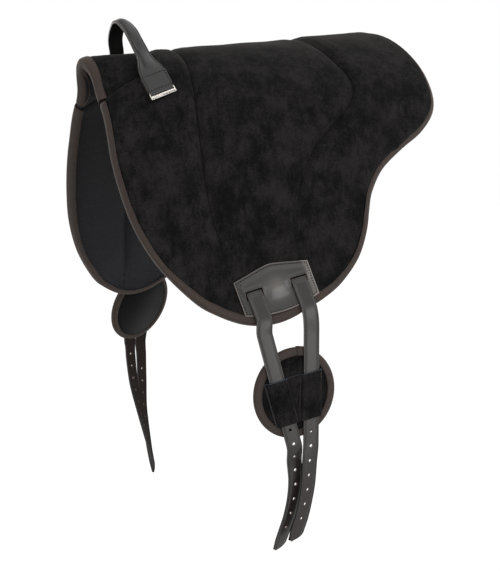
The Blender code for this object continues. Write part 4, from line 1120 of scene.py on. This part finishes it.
for side_name, side in SIDES.items():
    guard = guard_frame(side_name)
    body = side_name + "_guard"
    disc = guard_disc(guard, GUARD_FACE, GUARD_FACE - GUARD_SKIN, GUARD_CROWN)
    piece = put(side_name + "_guard_front", disc, [suede], body, [side_name + "_guard_face"])
    middle = GUARD_FACE - GUARD_SKIN - TAPE_GAP
    disc = guard_disc(guard, middle, middle - GUARD_FELT)
    piece = put(side_name + "_guard_core", disc, [felt], body, [side_name + "_guard_felt"])
    disc = guard_disc(guard, GUARD_BACK + GUARD_SKIN, GUARD_BACK)
    put(side_name + "_guard_back", disc, [felt], body, [side_name + "_guard_lining"])

    frames = []
    for k in range(GUARD_FRAMES):
        angle = 2.0 * math.pi * k / GUARD_FRAMES
        across, up = on_oval(angle, 0.0)
        inner_across, inner_up = on_oval(angle, 0.01)
        point = in_axes(guard, across, up, GUARD_FACE)
        inward = (in_axes(guard, inner_across, inner_up, GUARD_FACE) - point).normalized()
        frames.append((point, inward, guard[3], 0.0, 0.0, GUARD_FACE - GUARD_BACK))
    put_tape(side_name + "_guard_tape", lay_tape(frames, GUARD_WING, GUARD_FOLD, closed=True), body,
             [side_name + "_guard_binding"])
    if side_name == "left":
        # The near guard's tape is lapped over its own start, between the two straps.
        over = TAPE + LAP_GAP
        lap = [(p + (n - i) * over, i, n, a, b, d + 2.0 * over) for p, i, n, a, b, d in frames[LAP_FRAMES]]
        put_tape("left_tape_lap", lay_tape(lap, LAP_WING, LAP_FOLD), body)
    ring = frames + frames[:1]
    sew(side_name + "_guard_stitching", [
        [(p + i * GUARD_SEWN[0] + n * (TAPE_GAP + TAPE), n) for p, i, n, a, b, d in ring],
        [(p + i * GUARD_SEWN[1] - n * (d + TAPE_GAP + TAPE), -n) for p, i, n, a, b, d in ring],
    ], body)

    bm = bmesh.new()
    for v in unit_grid(bm, SLEEVE_COLUMNS, SLEEVE_ROWS):
        level = -SLEEVE_BOTTOM + (SLEEVE_TOP + SLEEVE_BOTTOM) * v.co.y
        first = strap_line("front", level) - 0.5 * CHANNEL - SLEEVE_LAND
        last = strap_line("rear", level) + 0.5 * CHANNEL + SLEEVE_LAND
        across = first + (last - first) * v.co.x
        up = level + SLEEVE_SLANT_SHARE * across
        scale, slack = SLEEVE_SLACK
        slack *= noise.noise(Vector((across * scale, up * scale, side * 3.0)))
        lip = SLEEVE_LIP * (1.0 - smooth_step(0.0, 0.05, min(v.co.y, 1.0 - v.co.y)))
        height = sleeve_height(across, up)
        raised = smooth_step(GUARD_FACE + TAPE_GAP, 0.5 * STRAP, height)
        v.co = in_axes(guard, across, up, height + (slack + lip + SLEEVE_EASE) * raised)
    face_out(bm, guard[0], guard[3])
    piece = put(side_name + "_sleeve", bm, [suede, cut_edge], body, [side_name + "_guard_sleeve"])
    thicken(piece, SLEEVE, 1.0, 1)
    start, reach = SLEEVE_STITCH_END - SLEEVE_BOTTOM, SLEEVE_TOP + SLEEVE_BOTTOM - 2.0 * SLEEVE_STITCH_END
    runs = []
    for strap, away in (("front", -1.0), ("front", 1.0), ("rear", -1.0), ("rear", 1.0)):
        run = []
        for k in range(31):
            level = start + reach * k / 30.0
            across = strap_line(strap, level) + away * (0.5 * CHANNEL + 0.5 * SLEEVE_LAND)
            up = level + SLEEVE_SLANT_SHARE * across
            run.append((in_axes(guard, across, up, sleeve_height(across, up) + SLEEVE), guard[3]))
        runs.append(run)
    sew(side_name + "_sleeve_stitching", runs, body, SLEEVE_PITCH, SLEEVE_THREAD, seam_thread)


# ---- Girth straps: two billets of thick bridle leather on each side. They come out of the patch's
# slots, pass through the guard and hang free, punched for a buckle's tongue and cut to a slant.

STRAP_WIDTH = 0.025
STRAP_LENGTH = 0.430
HINGE_DROP = 0.0025
HOLE = 0.0050
HOLE_PITCH = 0.0235
HOLE_ROWS = 14
STRAP_COLUMNS = 15
HOLE_CELLS = 1.4
TOOLED_LINE = 0.0103
TOOL_WIDTH = 0.0005
TOOL_DEPTH = 0.0005
EDGE_COLUMNS = {13: TOOLED_LINE + 0.0009, 11: TOOLED_LINE, 9: TOOLED_LINE - 0.0009}
STRAP_CROWN = 0.00025
STRAP_SHRINK = 0.0002
CREASES = (45.0, 330.0, 0.00045)
CREASE_END = (0.010, 0.034)
TIP_SLANT = (0.30, 1.35)
ROUTE_STEPS = 12
DARKENING_BETWEEN = (-0.60, -0.72)
FRONT_HOLES = 9
REAR_HOLES = 8
FIRST_HOLE_SHARE = 1.6
TIP_LENGTH = 0.018
MARGIN = 0.0105
STRAIGHT_BELOW = 0.080
STRAIGHT_ABOVE = {
    "left": {"front": 0.092, "rear": 0.092},
    "right": {"front": 0.066, "rear": 0.073},
}
LEFT_TAIL_SHARES = {
    "front": [(0.036, -0.051, 0.166, 6.0), (0.056, -0.061, 0.334, 0.0), (0.046, -0.071, 0.495, -6.0),
              (0.009, -0.080, 0.659, -12.0), (-0.043, -0.090, 0.798, -18.0), (-0.104, -0.099, 0.954, -22.0)],
    "rear": [(-0.010, -0.004, 0.177, 4.0), (-0.015, -0.017, 0.371, 0.0), (-0.028, -0.030, 0.509, -3.0),
             (-0.069, -0.040, 0.700, -5.0), (-0.111, -0.053, 0.835, -7.0), (-0.147, -0.063, 0.941, -8.0)],
}
RIGHT_TAIL_SHARES = {
    "front": [(-0.002, -0.019, 0.131, 24.0), (0.002, -0.059, 0.318, 30.0), (0.023, -0.090, 0.479, 40.0),
              (0.050, -0.136, 0.674, 52.0), (0.080, -0.174, 0.839, 57.0), (0.104, -0.207, 0.989, 60.0)],
    "rear": [(0.007, 0.010, 0.144, 22.0), (0.001, -0.015, 0.352, 27.0), (-0.011, -0.060, 0.564, 36.0),
             (-0.002, -0.097, 0.731, 45.0), (0.010, -0.135, 0.922, 48.0), (0.026, -0.174, 1.077, 50.0)],
}
TAIL_SHARES = {"left": LEFT_TAIL_SHARES, "right": RIGHT_TAIL_SHARES}

strap_leather, tree, shader = dye_leather("satin girth strap leather", "#221f1e", "#2d2927", "#423c38")
# The tails are darker and browner towards their lower ends, by height.
coords = add_node(tree, "TexCoord", {}, {})
place = add_node(tree, "SeparateXYZ", {}, {"Vector": coords["Object"]})
darkened_lower_tails = add_node(tree, "MapRange", {
    "From Min": DARKENING_BETWEEN[0], "From Max": DARKENING_BETWEEN[1], "To Max": 0.85}, {"Value": place["Z"]})
colour_over(tree, shader, "#1d1613", darkened_lower_tails[0])
strap_edge, tree, shader = dye_leather("painted strap edge", "#1c1a19", "#292625", "#403c39")

# The back of each strap is its flesh side: matt, a little fibrous and dark brown.
flesh_side, tree, shader = new_finish("dyed flesh side of the strap leather", {
    "Roughness": 0.88, "Specular IOR Level": 0.12})
coords = add_node(tree, "TexCoord", {}, {})
fuzz = grain(tree, coords["Object"], 2.5, 5.0, 0.75)
colour_between(tree, shader, "#15110f", "#2b2421", fuzz)
raise_surface(tree, shader, 0.4, 0.0004, fuzz)


def smooth_route(stops, steps):
    """Places close together through (point, facing, straight) stops; straight runs straight on."""
    places = []
    last = len(stops) - 1
    for i in range(last):
        here, ahead = stops[i], stops[i + 1]
        behind, beyond = stops[max(i - 1, 0)], stops[min(i + 2, last)]
        leg = ahead[0] - here[0]
        leave = here[0] - behind[0] if behind[2] and i > 0 else ahead[0] - behind[0]
        arrive = beyond[0] - ahead[0] if ahead[2] else beyond[0] - here[0]
        leave, arrive = leave.normalized() * leg.length, arrive.normalized() * leg.length
        for k in range(steps):
            t = k / steps
            if here[2]:
                point = here[0].lerp(ahead[0], t)
            else:
                point = (here[0] * (2.0 * t ** 3 - 3.0 * t ** 2 + 1.0) + leave * (t ** 3 - 2.0 * t ** 2 + t)
                         + ahead[0] * (3.0 * t ** 2 - 2.0 * t ** 3) + arrive * (t ** 3 - t ** 2))
            places.append((point, here[1].lerp(ahead[1], t)))
    places.append(stops[-1][:2])
    return places


def billet_stops(name, strap):
    """Stops of a billet from its slot, over the patch and tape, through the guard, to its tip."""
    side = SIDES[name]
    flap, guard = flap_frame(side), guard_frame(name)
    run = (-0.5 if strap == "front" else 0.5) * SLOT_SPACING
    low = FIT + 0.5 * STRAP
    high = FIT + PATCH + FIT + 0.5 * STRAP
    stops = [(in_axes(flap, run, HINGE_DROP, low), flap[3], True),
             (on_flap(flap, side, run, SLOT_HEIGHT - FIT, high)[0], flap[3], True)]
    if name == "left":
        down = PATCH_DROP + PATCH_BOW + MARGIN
        stops.append((on_flap(flap, side, run, down, high + TAPE)[0], flap[3], False))
    for up, straight in ((STRAIGHT_ABOVE[name][strap], True), (0.0, True), (-STRAIGHT_BELOW, False)):
        stops.append((in_axes(guard, strap_line(strap, up), up, 0.0), guard[3], straight))
    end = stops[-1][0]
    left_over = STRAP_LENGTH - sum((b[0] - a[0]).length for a, b in zip(stops, stops[1:]))
    for back, out, down, toe in TAIL_SHARES[name][strap]:
        angle = math.radians(toe)
        stops.append((end + Vector((back, side * out, -down)) * left_over,
                      Vector((-math.sin(angle), side * math.cos(angle), 0.0)), False))
    return stops


def ribbon(places):
    """A ribbon's length, and its middle, edge-to-edge and outward directions at a distance along it."""
    runs, frames = [0.0], []
    for i, (point, facing) in enumerate(places):
        before, after = places[max(i - 1, 0)][0], places[min(i + 1, len(places) - 1)][0]
        forward = (after - before).normalized()
        across = forward.cross(facing).normalized()
        if across.x < 0.0:
            across = -across
        out = across.cross(forward).normalized()
        frames.append((point, across, -out if out.dot(facing) < 0.0 else out))
        if i:
            runs.append(runs[-1] + (point - places[i - 1][0]).length)

    def at(distance):
        k = min(max(bisect.bisect_left(runs, distance), 1), len(runs) - 1)
        t = (distance - runs[k - 1]) / (runs[k] - runs[k - 1])
        a, b = frames[k - 1], frames[k]
        return a[0].lerp(b[0], t), a[1].lerp(b[1], t).normalized(), a[2].lerp(b[2], t).normalized()
    return runs[-1], at


for side_name in SIDES:
    for strap, holes in (("front", FRONT_HOLES), ("rear", REAR_HOLES)):
        length, at = ribbon(smooth_route(billet_stops(side_name, strap), ROUTE_STEPS))
        row = HOLE_PITCH / HOLE_ROWS
        rows = int(length / row)
        bm = bmesh.new()
        for v in unit_grid(bm, STRAP_COLUMNS, rows):
            x = 2.0 * v.co.x - 1.0
            half = EDGE_COLUMNS.get(round(abs(x) * STRAP_COLUMNS), 0.5 * STRAP_WIDTH * abs(x))
            v.co = Vector((math.copysign(half, x), row * round(v.co.y * rows), 0.0))
        # Distances run up from the tip. Each hole is centred on a cell, three cells across.
        rims, punched = [], []
        for k in range(holes):
            centre = row * (round((k + FIRST_HOLE_SHARE) * HOLE_ROWS) + 0.5)
            cells = [f for f in bm.faces
                     if abs(f.calc_center_median().x) < HOLE_CELLS * STRAP_WIDTH / STRAP_COLUMNS
                     and abs(f.calc_center_median().y - centre) < HOLE_CELLS * row]
            rims.append((centre, {v for f in cells for v in f.verts}))
            punched += cells
        bmesh.ops.delete(bm, geom=punched, context="FACES")
        for centre, edge in rims:
            for v in edge:
                if v.is_valid:
                    away = Vector((v.co.x, v.co.y - centre, 0.0)).normalized() * 0.5 * HOLE
                    v.co = Vector((away.x, centre + away.y, 0.0))
                    for face in v.link_faces:
                        face.material_index = 1
        set_uv(bm, {v: (v.co.x, v.co.y) for v in bm.verts})
        for v in bm.verts:
            x, run = v.co.x, v.co.y
            # The strap is a little crowned, with a crease tooled beside each edge. It wrinkles where
            # it bends out of its slot.
            tooled = math.exp(-((abs(x) - TOOLED_LINE) / TOOL_WIDTH) ** 2) * TOOL_DEPTH
            cut = max(0.0, 1.0 - run / TIP_LENGTH) ** 2
            front, rear = 1.0 - TIP_SLANT[0] * cut, 1.0 - TIP_SLANT[1] * cut
            x = 0.5 * STRAP_WIDTH * (-front + (front + rear) * (x / STRAP_WIDTH + 0.5))
            point, across, out = at(length - run)
            crown = STRAP_CROWN * (1.0 - (2.0 * x / STRAP_WIDTH) ** 2)
            bent = 1.0 - smooth_step(*CREASE_END, length - run)
            crease = noise.noise(Vector((x * CREASES[0], run * CREASES[1], 7.0))) * CREASES[2] * bent
            v.co = point + across * x + out * (0.5 * STRAP - STRAP_SHRINK + crown + crease - tooled)
        place, across, out = at(0.5 * length)
        face_out(bm, place, out)
        finishes = [strap_leather, strap_leather, strap_edge, raw_edge, flesh_side, flesh_side]
        put_leather(side_name + "_" + strap + "_strap", bm, finishes, side_name + "_billets",
                    [side_name + "_" + strap + "_billet"], STRAP - STRAP_SHRINK, -1.0, 2, 4)


# ---- Grab handle: a leather strap arched over the pommel, with a padded cover stitched along its
# top. At each end it flares into a flat tab that is folded round the bar of a nickel dee.

HANDLE_WIDTH = 0.024
HANDLE_END = 0.0405
HANDLE_RISE = 0.0530
HANDLE_LEATHER = 0.0025
HANDLE_COVER = 0.0020
HANDLE_FLARE = 0.044
HANDLE_STITCH_INSET = 0.0022
HANDLE_THREAD = 0.0016
COVER_INSET = 0.0002
COVER_GAP = 0.0004
COVER_START_SHARE = 0.9
COVER_RISE = (0.002, 0.022)
CORE_WIDTH = 0.013
CORE_HEIGHT = 0.0030
CORE_FALL = 0.0016
TAB_WIDTH = 0.042
TAB_LENGTH = 0.035
TAB_TILT = math.radians(15.0)
TAB_LEATHER = 0.0022
TAB_FOLD_WIDTH = 0.0385
TAB_STITCH_INSET = 0.0026
TAB_UNREST = (90.0, 0.00015)
TAB_SHARES = (0.174, 0.128)
HANDLE_TOP_SHARE = 0.129
ARCH_CENTRE_SHARE = 1.25
ARCH_SHARES = [(0.165, 0.036, 0.010), (0.510, 0.275, 0.066), (0.680, 0.497, 0.115), (0.915, 0.953, 0.261)]
DEE_WIDTH = 0.0425
DEE_BAR = 0.0032
DEE_PLATE = 0.0055
DEE_CORNER = 0.0028
DEE_RIM = 0.0009
DEE_SINK = 0.0005
DEE_SOFT = 0.0003
SHARP_ANGLE = math.radians(50.0)
RIBS = 9
RIB_MARGIN = 0.0060
RIB_HALVES = (0.0005, 0.5 * DEE_PLATE - 0.0011, 0.0004)
RIB_TURN = math.radians(32.0)
SLIVER = 1e-4

handle_leather, tree, shader = dye_leather("smooth handle leather", "#0f0e0e", "#171615", "#292725")
# The edges of the handle and tabs are light partly from their wax and partly as a painted highlight along
# their lit outlines.
handle_edge_wax_and_highlight, tree, shader = dye_leather("waxed handle edge with painted highlight", "#504c49", "#615c58", "#746e69")
TAB_GAP = DEE_BAR + 2.0 * FIT
TAB_BAR = 0.5 * TAB_LENGTH - 0.5 * (TAB_GAP + TAB_LEATHER)


def tab_frame(side):
    """Middle of a tab's underside, then the directions towards the tail, down and outwards."""
    x = (TAB_SHARES[0] - 0.5) * PAD_LENGTH
    turn = turn_of(x, TAB_SHARES[1] * FLAP_DROP) * side
    normal = out_of_form(x, turn)
    middle = on_form(x, turn) + normal * (PUFFS["knee"] + FIT)
    tilt = Vector((math.cos(TAB_TILT), 0.0, math.sin(TAB_TILT)))
    run = (tilt - normal * tilt.dot(normal)).normalized()
    return middle, run, run.cross(normal) * -side, normal


def bend_strip(length, at, columns, rows, half_width, height, inset=0.0):
    """A flat grid laid along a ribbon: half_width and height say its outline and its raised section."""
    bm = bmesh.new()
    for v in unit_grid(bm, columns, rows):
        distance = inset + (length - 2.0 * inset) * v.co.y
        x = (2.0 * v.co.x - 1.0) * half_width(distance)
        point, across, out = at(distance)
        v.co = point + across * x + out * height(x, distance)
    place, across, out = at(0.5 * length)
    face_out(bm, place + out * height(0.0, 0.5 * length), out)
    return bm


arch_top = Vector(((HANDLE_TOP_SHARE - 0.5) * PAD_LENGTH, 0.0, 0.0))
arch_top.z = ridge_height(arch_top.x) + HANDLE_RISE
ends = {}
for side_name, side in SIDES.items():
    tab = tab_frame(side)
    stops = []
    for out, down, back in ARCH_SHARES:
        facing = Vector((0.0, side * out, ARCH_CENTRE_SHARE - down)).normalized()
        stops.append((arch_top + Vector((back, side * out, -down)) * HANDLE_RISE, facing))
    for down in (-0.5 * TAB_LENGTH, TAB_BAR - DEE_BAR - FIT):
        stops.append((in_axes(tab, 0.0, down, TAB_LEATHER + 0.5 * TAB_GAP), tab[3]))
    ends[side_name] = stops
stops = ends["left"][::-1] + [(arch_top, Vector((0.0, 0.0, 1.0)))] + ends["right"]
stops = [(point, facing, i in (0, len(stops) - 2)) for i, (point, facing) in enumerate(stops)]
handle_length, handle_at = ribbon(smooth_route(stops, ROUTE_STEPS))
tab_run = (stops[1][0] - stops[0][0]).length


def handle_half(distance):
    """Half the handle's width: slim over the arch, flaring towards both tabs."""
    from_end = min(distance, handle_length - distance)
    flare = 1.0 - smooth_step(tab_run * 0.98, tab_run + HANDLE_FLARE, from_end)
    return 0.5 * (HANDLE_WIDTH + (HANDLE_END - HANDLE_WIDTH) * flare)


def cover_height(x, distance):
    """The padded cover's underside: a rounded core that runs out flat near the tabs."""
    from_end = min(distance, handle_length - distance)
    full = smooth_step(*COVER_RISE, from_end - tab_run)
    share = min(abs(x) / (0.5 * CORE_WIDTH + CORE_FALL), 1.0)
    return 0.5 * HANDLE_LEATHER + COVER_GAP + (CORE_HEIGHT + LAYER_GAP) * full * (1.0 - share ** 2) ** 0.75


bm = bend_strip(handle_length, handle_at, 12, 150, handle_half, lambda x, distance: 0.5 * HANDLE_LEATHER)
put_leather("handle_base", bm, [handle_leather, handle_edge_wax_and_highlight], "pad", ["handle_strap"],
            HANDLE_LEATHER, -1.0, 1)

bm = bend_strip(handle_length, handle_at, 20, 150, lambda d: handle_half(d) - COVER_INSET, cover_height,
                tab_run * COVER_START_SHARE)
put_leather("handle_padding", bm, [handle_leather, handle_edge_wax_and_highlight], "pad", ["handle_cover", "handle_core"],
            HANDLE_COVER, 1.0, 1)
runs = []
for edge in (-1.0, 1.0):
    run = []
    for k in range(121):
        distance = tab_run + (handle_length - 2.0 * tab_run) * k / 120.0
        x = edge * (handle_half(distance) - HANDLE_STITCH_INSET)
        point, across, out = handle_at(distance)
        run.append((point + across * x + out * (cover_height(x, distance) + HANDLE_COVER), out))
    runs.append(run)
sew_leather("handle_stitching", runs, HANDLE_THREAD)

nickel, tree, shader = new_finish("polished nickel", {
    "Base Color": linear("#c3beb8"), "Metallic": 1.0, "Roughness": 0.22})
coords = add_node(tree, "TexCoord", {}, {})
smears = grain(tree, coords["Object"], 4, 4.0, 0.5)
shine = add_node(tree, "MapRange", {"To Min": 0.16, "To Max": 0.32}, {"Value": smears})
tree.links.new(shine[0], shader.inputs["Roughness"])

for side_name, side in SIDES.items():
    tab = tab_frame(side)
    middle = TAB_LEATHER + 0.5 * TAB_GAP
    radius = 0.5 * (TAB_GAP + TAB_LEATHER)
    fold = TAB_BAR + 0.5 * TAB_LENGTH
    places = [(in_axes(tab, 0.0, -0.5 * TAB_LENGTH + fold * k / 14.0, middle + radius), tab[3])
              for k in range(14)]
    for k in range(17):
        angle = math.radians(90.0 - 180.0 * k / 16.0)
        facing = tab[2] * math.cos(angle) + tab[3] * math.sin(angle)
        places.append((in_axes(tab, 0.0, TAB_BAR, middle) + facing * radius, facing))
    places += [(in_axes(tab, 0.0, TAB_BAR - fold * k / 14.0, middle - radius), -tab[3]) for k in range(1, 15)]
    tab_length, tab_at = ribbon(places)
    shoulder = fold - 2.0 * radius

    def tab_half(distance):
        narrowing = smooth_step(shoulder, shoulder + 1.4 * radius, min(distance, tab_length - distance))
        return 0.5 * (TAB_WIDTH + (TAB_FOLD_WIDTH - TAB_WIDTH) * narrowing)

    def tab_height(x, distance):
        scale, rise = TAB_UNREST
        return 0.5 * TAB_LEATHER + noise.noise(Vector((x * scale, distance * scale, side))) * rise

    bm = bend_strip(tab_length, tab_at, 16, 90, tab_half, tab_height)
    face_out(bm, in_axes(tab, 0.0, 0.0, middle + radius + 0.5 * TAB_LEATHER), tab[3])
    put_leather(side_name + "_tab", bm, [handle_leather, handle_edge_wax_and_highlight], "pad", [side_name + "_handle_tab"],
                TAB_LEATHER, -1.0, 1)
    top, inset = middle + radius + 0.5 * TAB_LEATHER, TAB_STITCH_INSET
    corners = [(-0.5, -0.5), (0.5, -0.5), (0.5, 0.5), (-0.5, 0.5), (-0.5, -0.5)]
    run = []
    for (a, b), (c, d) in zip(corners, corners[1:]):
        for k in range(10):
            t = k / 10.0
            across = (a + (c - a) * t) * (TAB_WIDTH - 2.0 * inset)
            share = b + (d - b) * t + 0.5
            down = -0.5 * TAB_LENGTH + inset + (fold - radius - inset) * share
            run.append((in_axes(tab, across, down, top), tab[3]))
    run.append(run[0])
    sew_leather(side_name + "_tab_stitching", [run])

    # The dee is cut out of plate: a bar in the tab's fold, two short arms and a wide lower plate,
    # whose face is sunk inside a rim and crossed by slanting ribs.
    bar_low = TAB_BAR + 0.5 * TAB_GAP + TAB_LEATHER + FIT
    half = 0.5 * TAB_FOLD_WIDTH + FIT
    across_stops = [-0.5 * DEE_WIDTH, -half, half, 0.5 * DEE_WIDTH]
    down_stops = [TAB_BAR - 0.5 * DEE_BAR, TAB_BAR + 0.5 * DEE_BAR, bar_low, bar_low + DEE_PLATE]
    bm = bmesh.new()
    for v in unit_grid(bm, 3, 3):
        x, y = across_stops[round(3.0 * v.co.x)], down_stops[round(3.0 * v.co.y)]
        if y == down_stops[0] and abs(x) > half:
            x = math.copysign(half + DEE_SOFT, x)
        v.co = Vector((x, y, -0.5 * DEE_BAR))
    hollow = [f for f in bm.faces if abs(f.calc_center_median().x) < half
              and down_stops[1] < f.calc_center_median().y < down_stops[2]]
    bmesh.ops.delete(bm, geom=hollow, context="FACES")
    raised = bmesh.ops.extrude_face_region(bm, geom=bm.faces[:])
    top_verts = [v for v in raised["geom"] if isinstance(v, bmesh.types.BMVert)]
    bmesh.ops.translate(bm, vec=(0.0, 0.0, DEE_BAR), verts=top_verts)
    bmesh.ops.recalc_face_normals(bm, faces=bm.faces)
    corners = [e for e in bm.edges if abs(e.verts[0].co.z - e.verts[1].co.z) > SLIVER
               and all(v.co.y > down_stops[3] - 1e-5 and abs(v.co.x) > half + SLIVER for v in e.verts)]
    bmesh.ops.bevel(bm, geom=corners, offset=DEE_CORNER, offset_type="OFFSET", segments=3, profile=0.5,
                    affect="EDGES", material=-1)
    plate_top = [f for f in bm.faces if f.normal.z > 0.9 and f.calc_center_median().y > down_stops[2]]
    bmesh.ops.inset_region(bm, faces=plate_top, thickness=DEE_RIM, depth=0.0)
    bmesh.ops.inset_region(bm, faces=plate_top, thickness=DEE_SOFT, depth=-DEE_SINK)
    sharp = [e for e in bm.edges if not e.is_boundary and e.calc_face_angle(0.0) > SHARP_ANGLE]
    bmesh.ops.bevel(bm, geom=sharp, offset=DEE_SOFT, offset_type="OFFSET", segments=2, profile=0.5,
                    affect="EDGES", material=-1)
    for k in range(RIBS):
        rib_x = (-0.5 + (k + 0.5) / RIBS) * (DEE_WIDTH - RIB_MARGIN)
        place = Matrix.Translation((rib_x, 0.5 * (down_stops[2] + down_stops[3]), 0.5 * DEE_BAR - DEE_SINK))
        turned = place @ Matrix.Rotation(RIB_TURN, 4, "Z") @ Matrix.Diagonal((*RIB_HALVES, 1.0))
        bmesh.ops.create_icosphere(bm, subdivisions=2, radius=1.0, matrix=turned)
    for v in bm.verts:
        v.co = in_axes(tab, v.co.x, v.co.y, middle + v.co.z)
    bmesh.ops.recalc_face_normals(bm, faces=bm.faces)
    put(side_name + "_dee_ring", bm, [nickel], side_name + "_dee", [side_name + "_dee"])
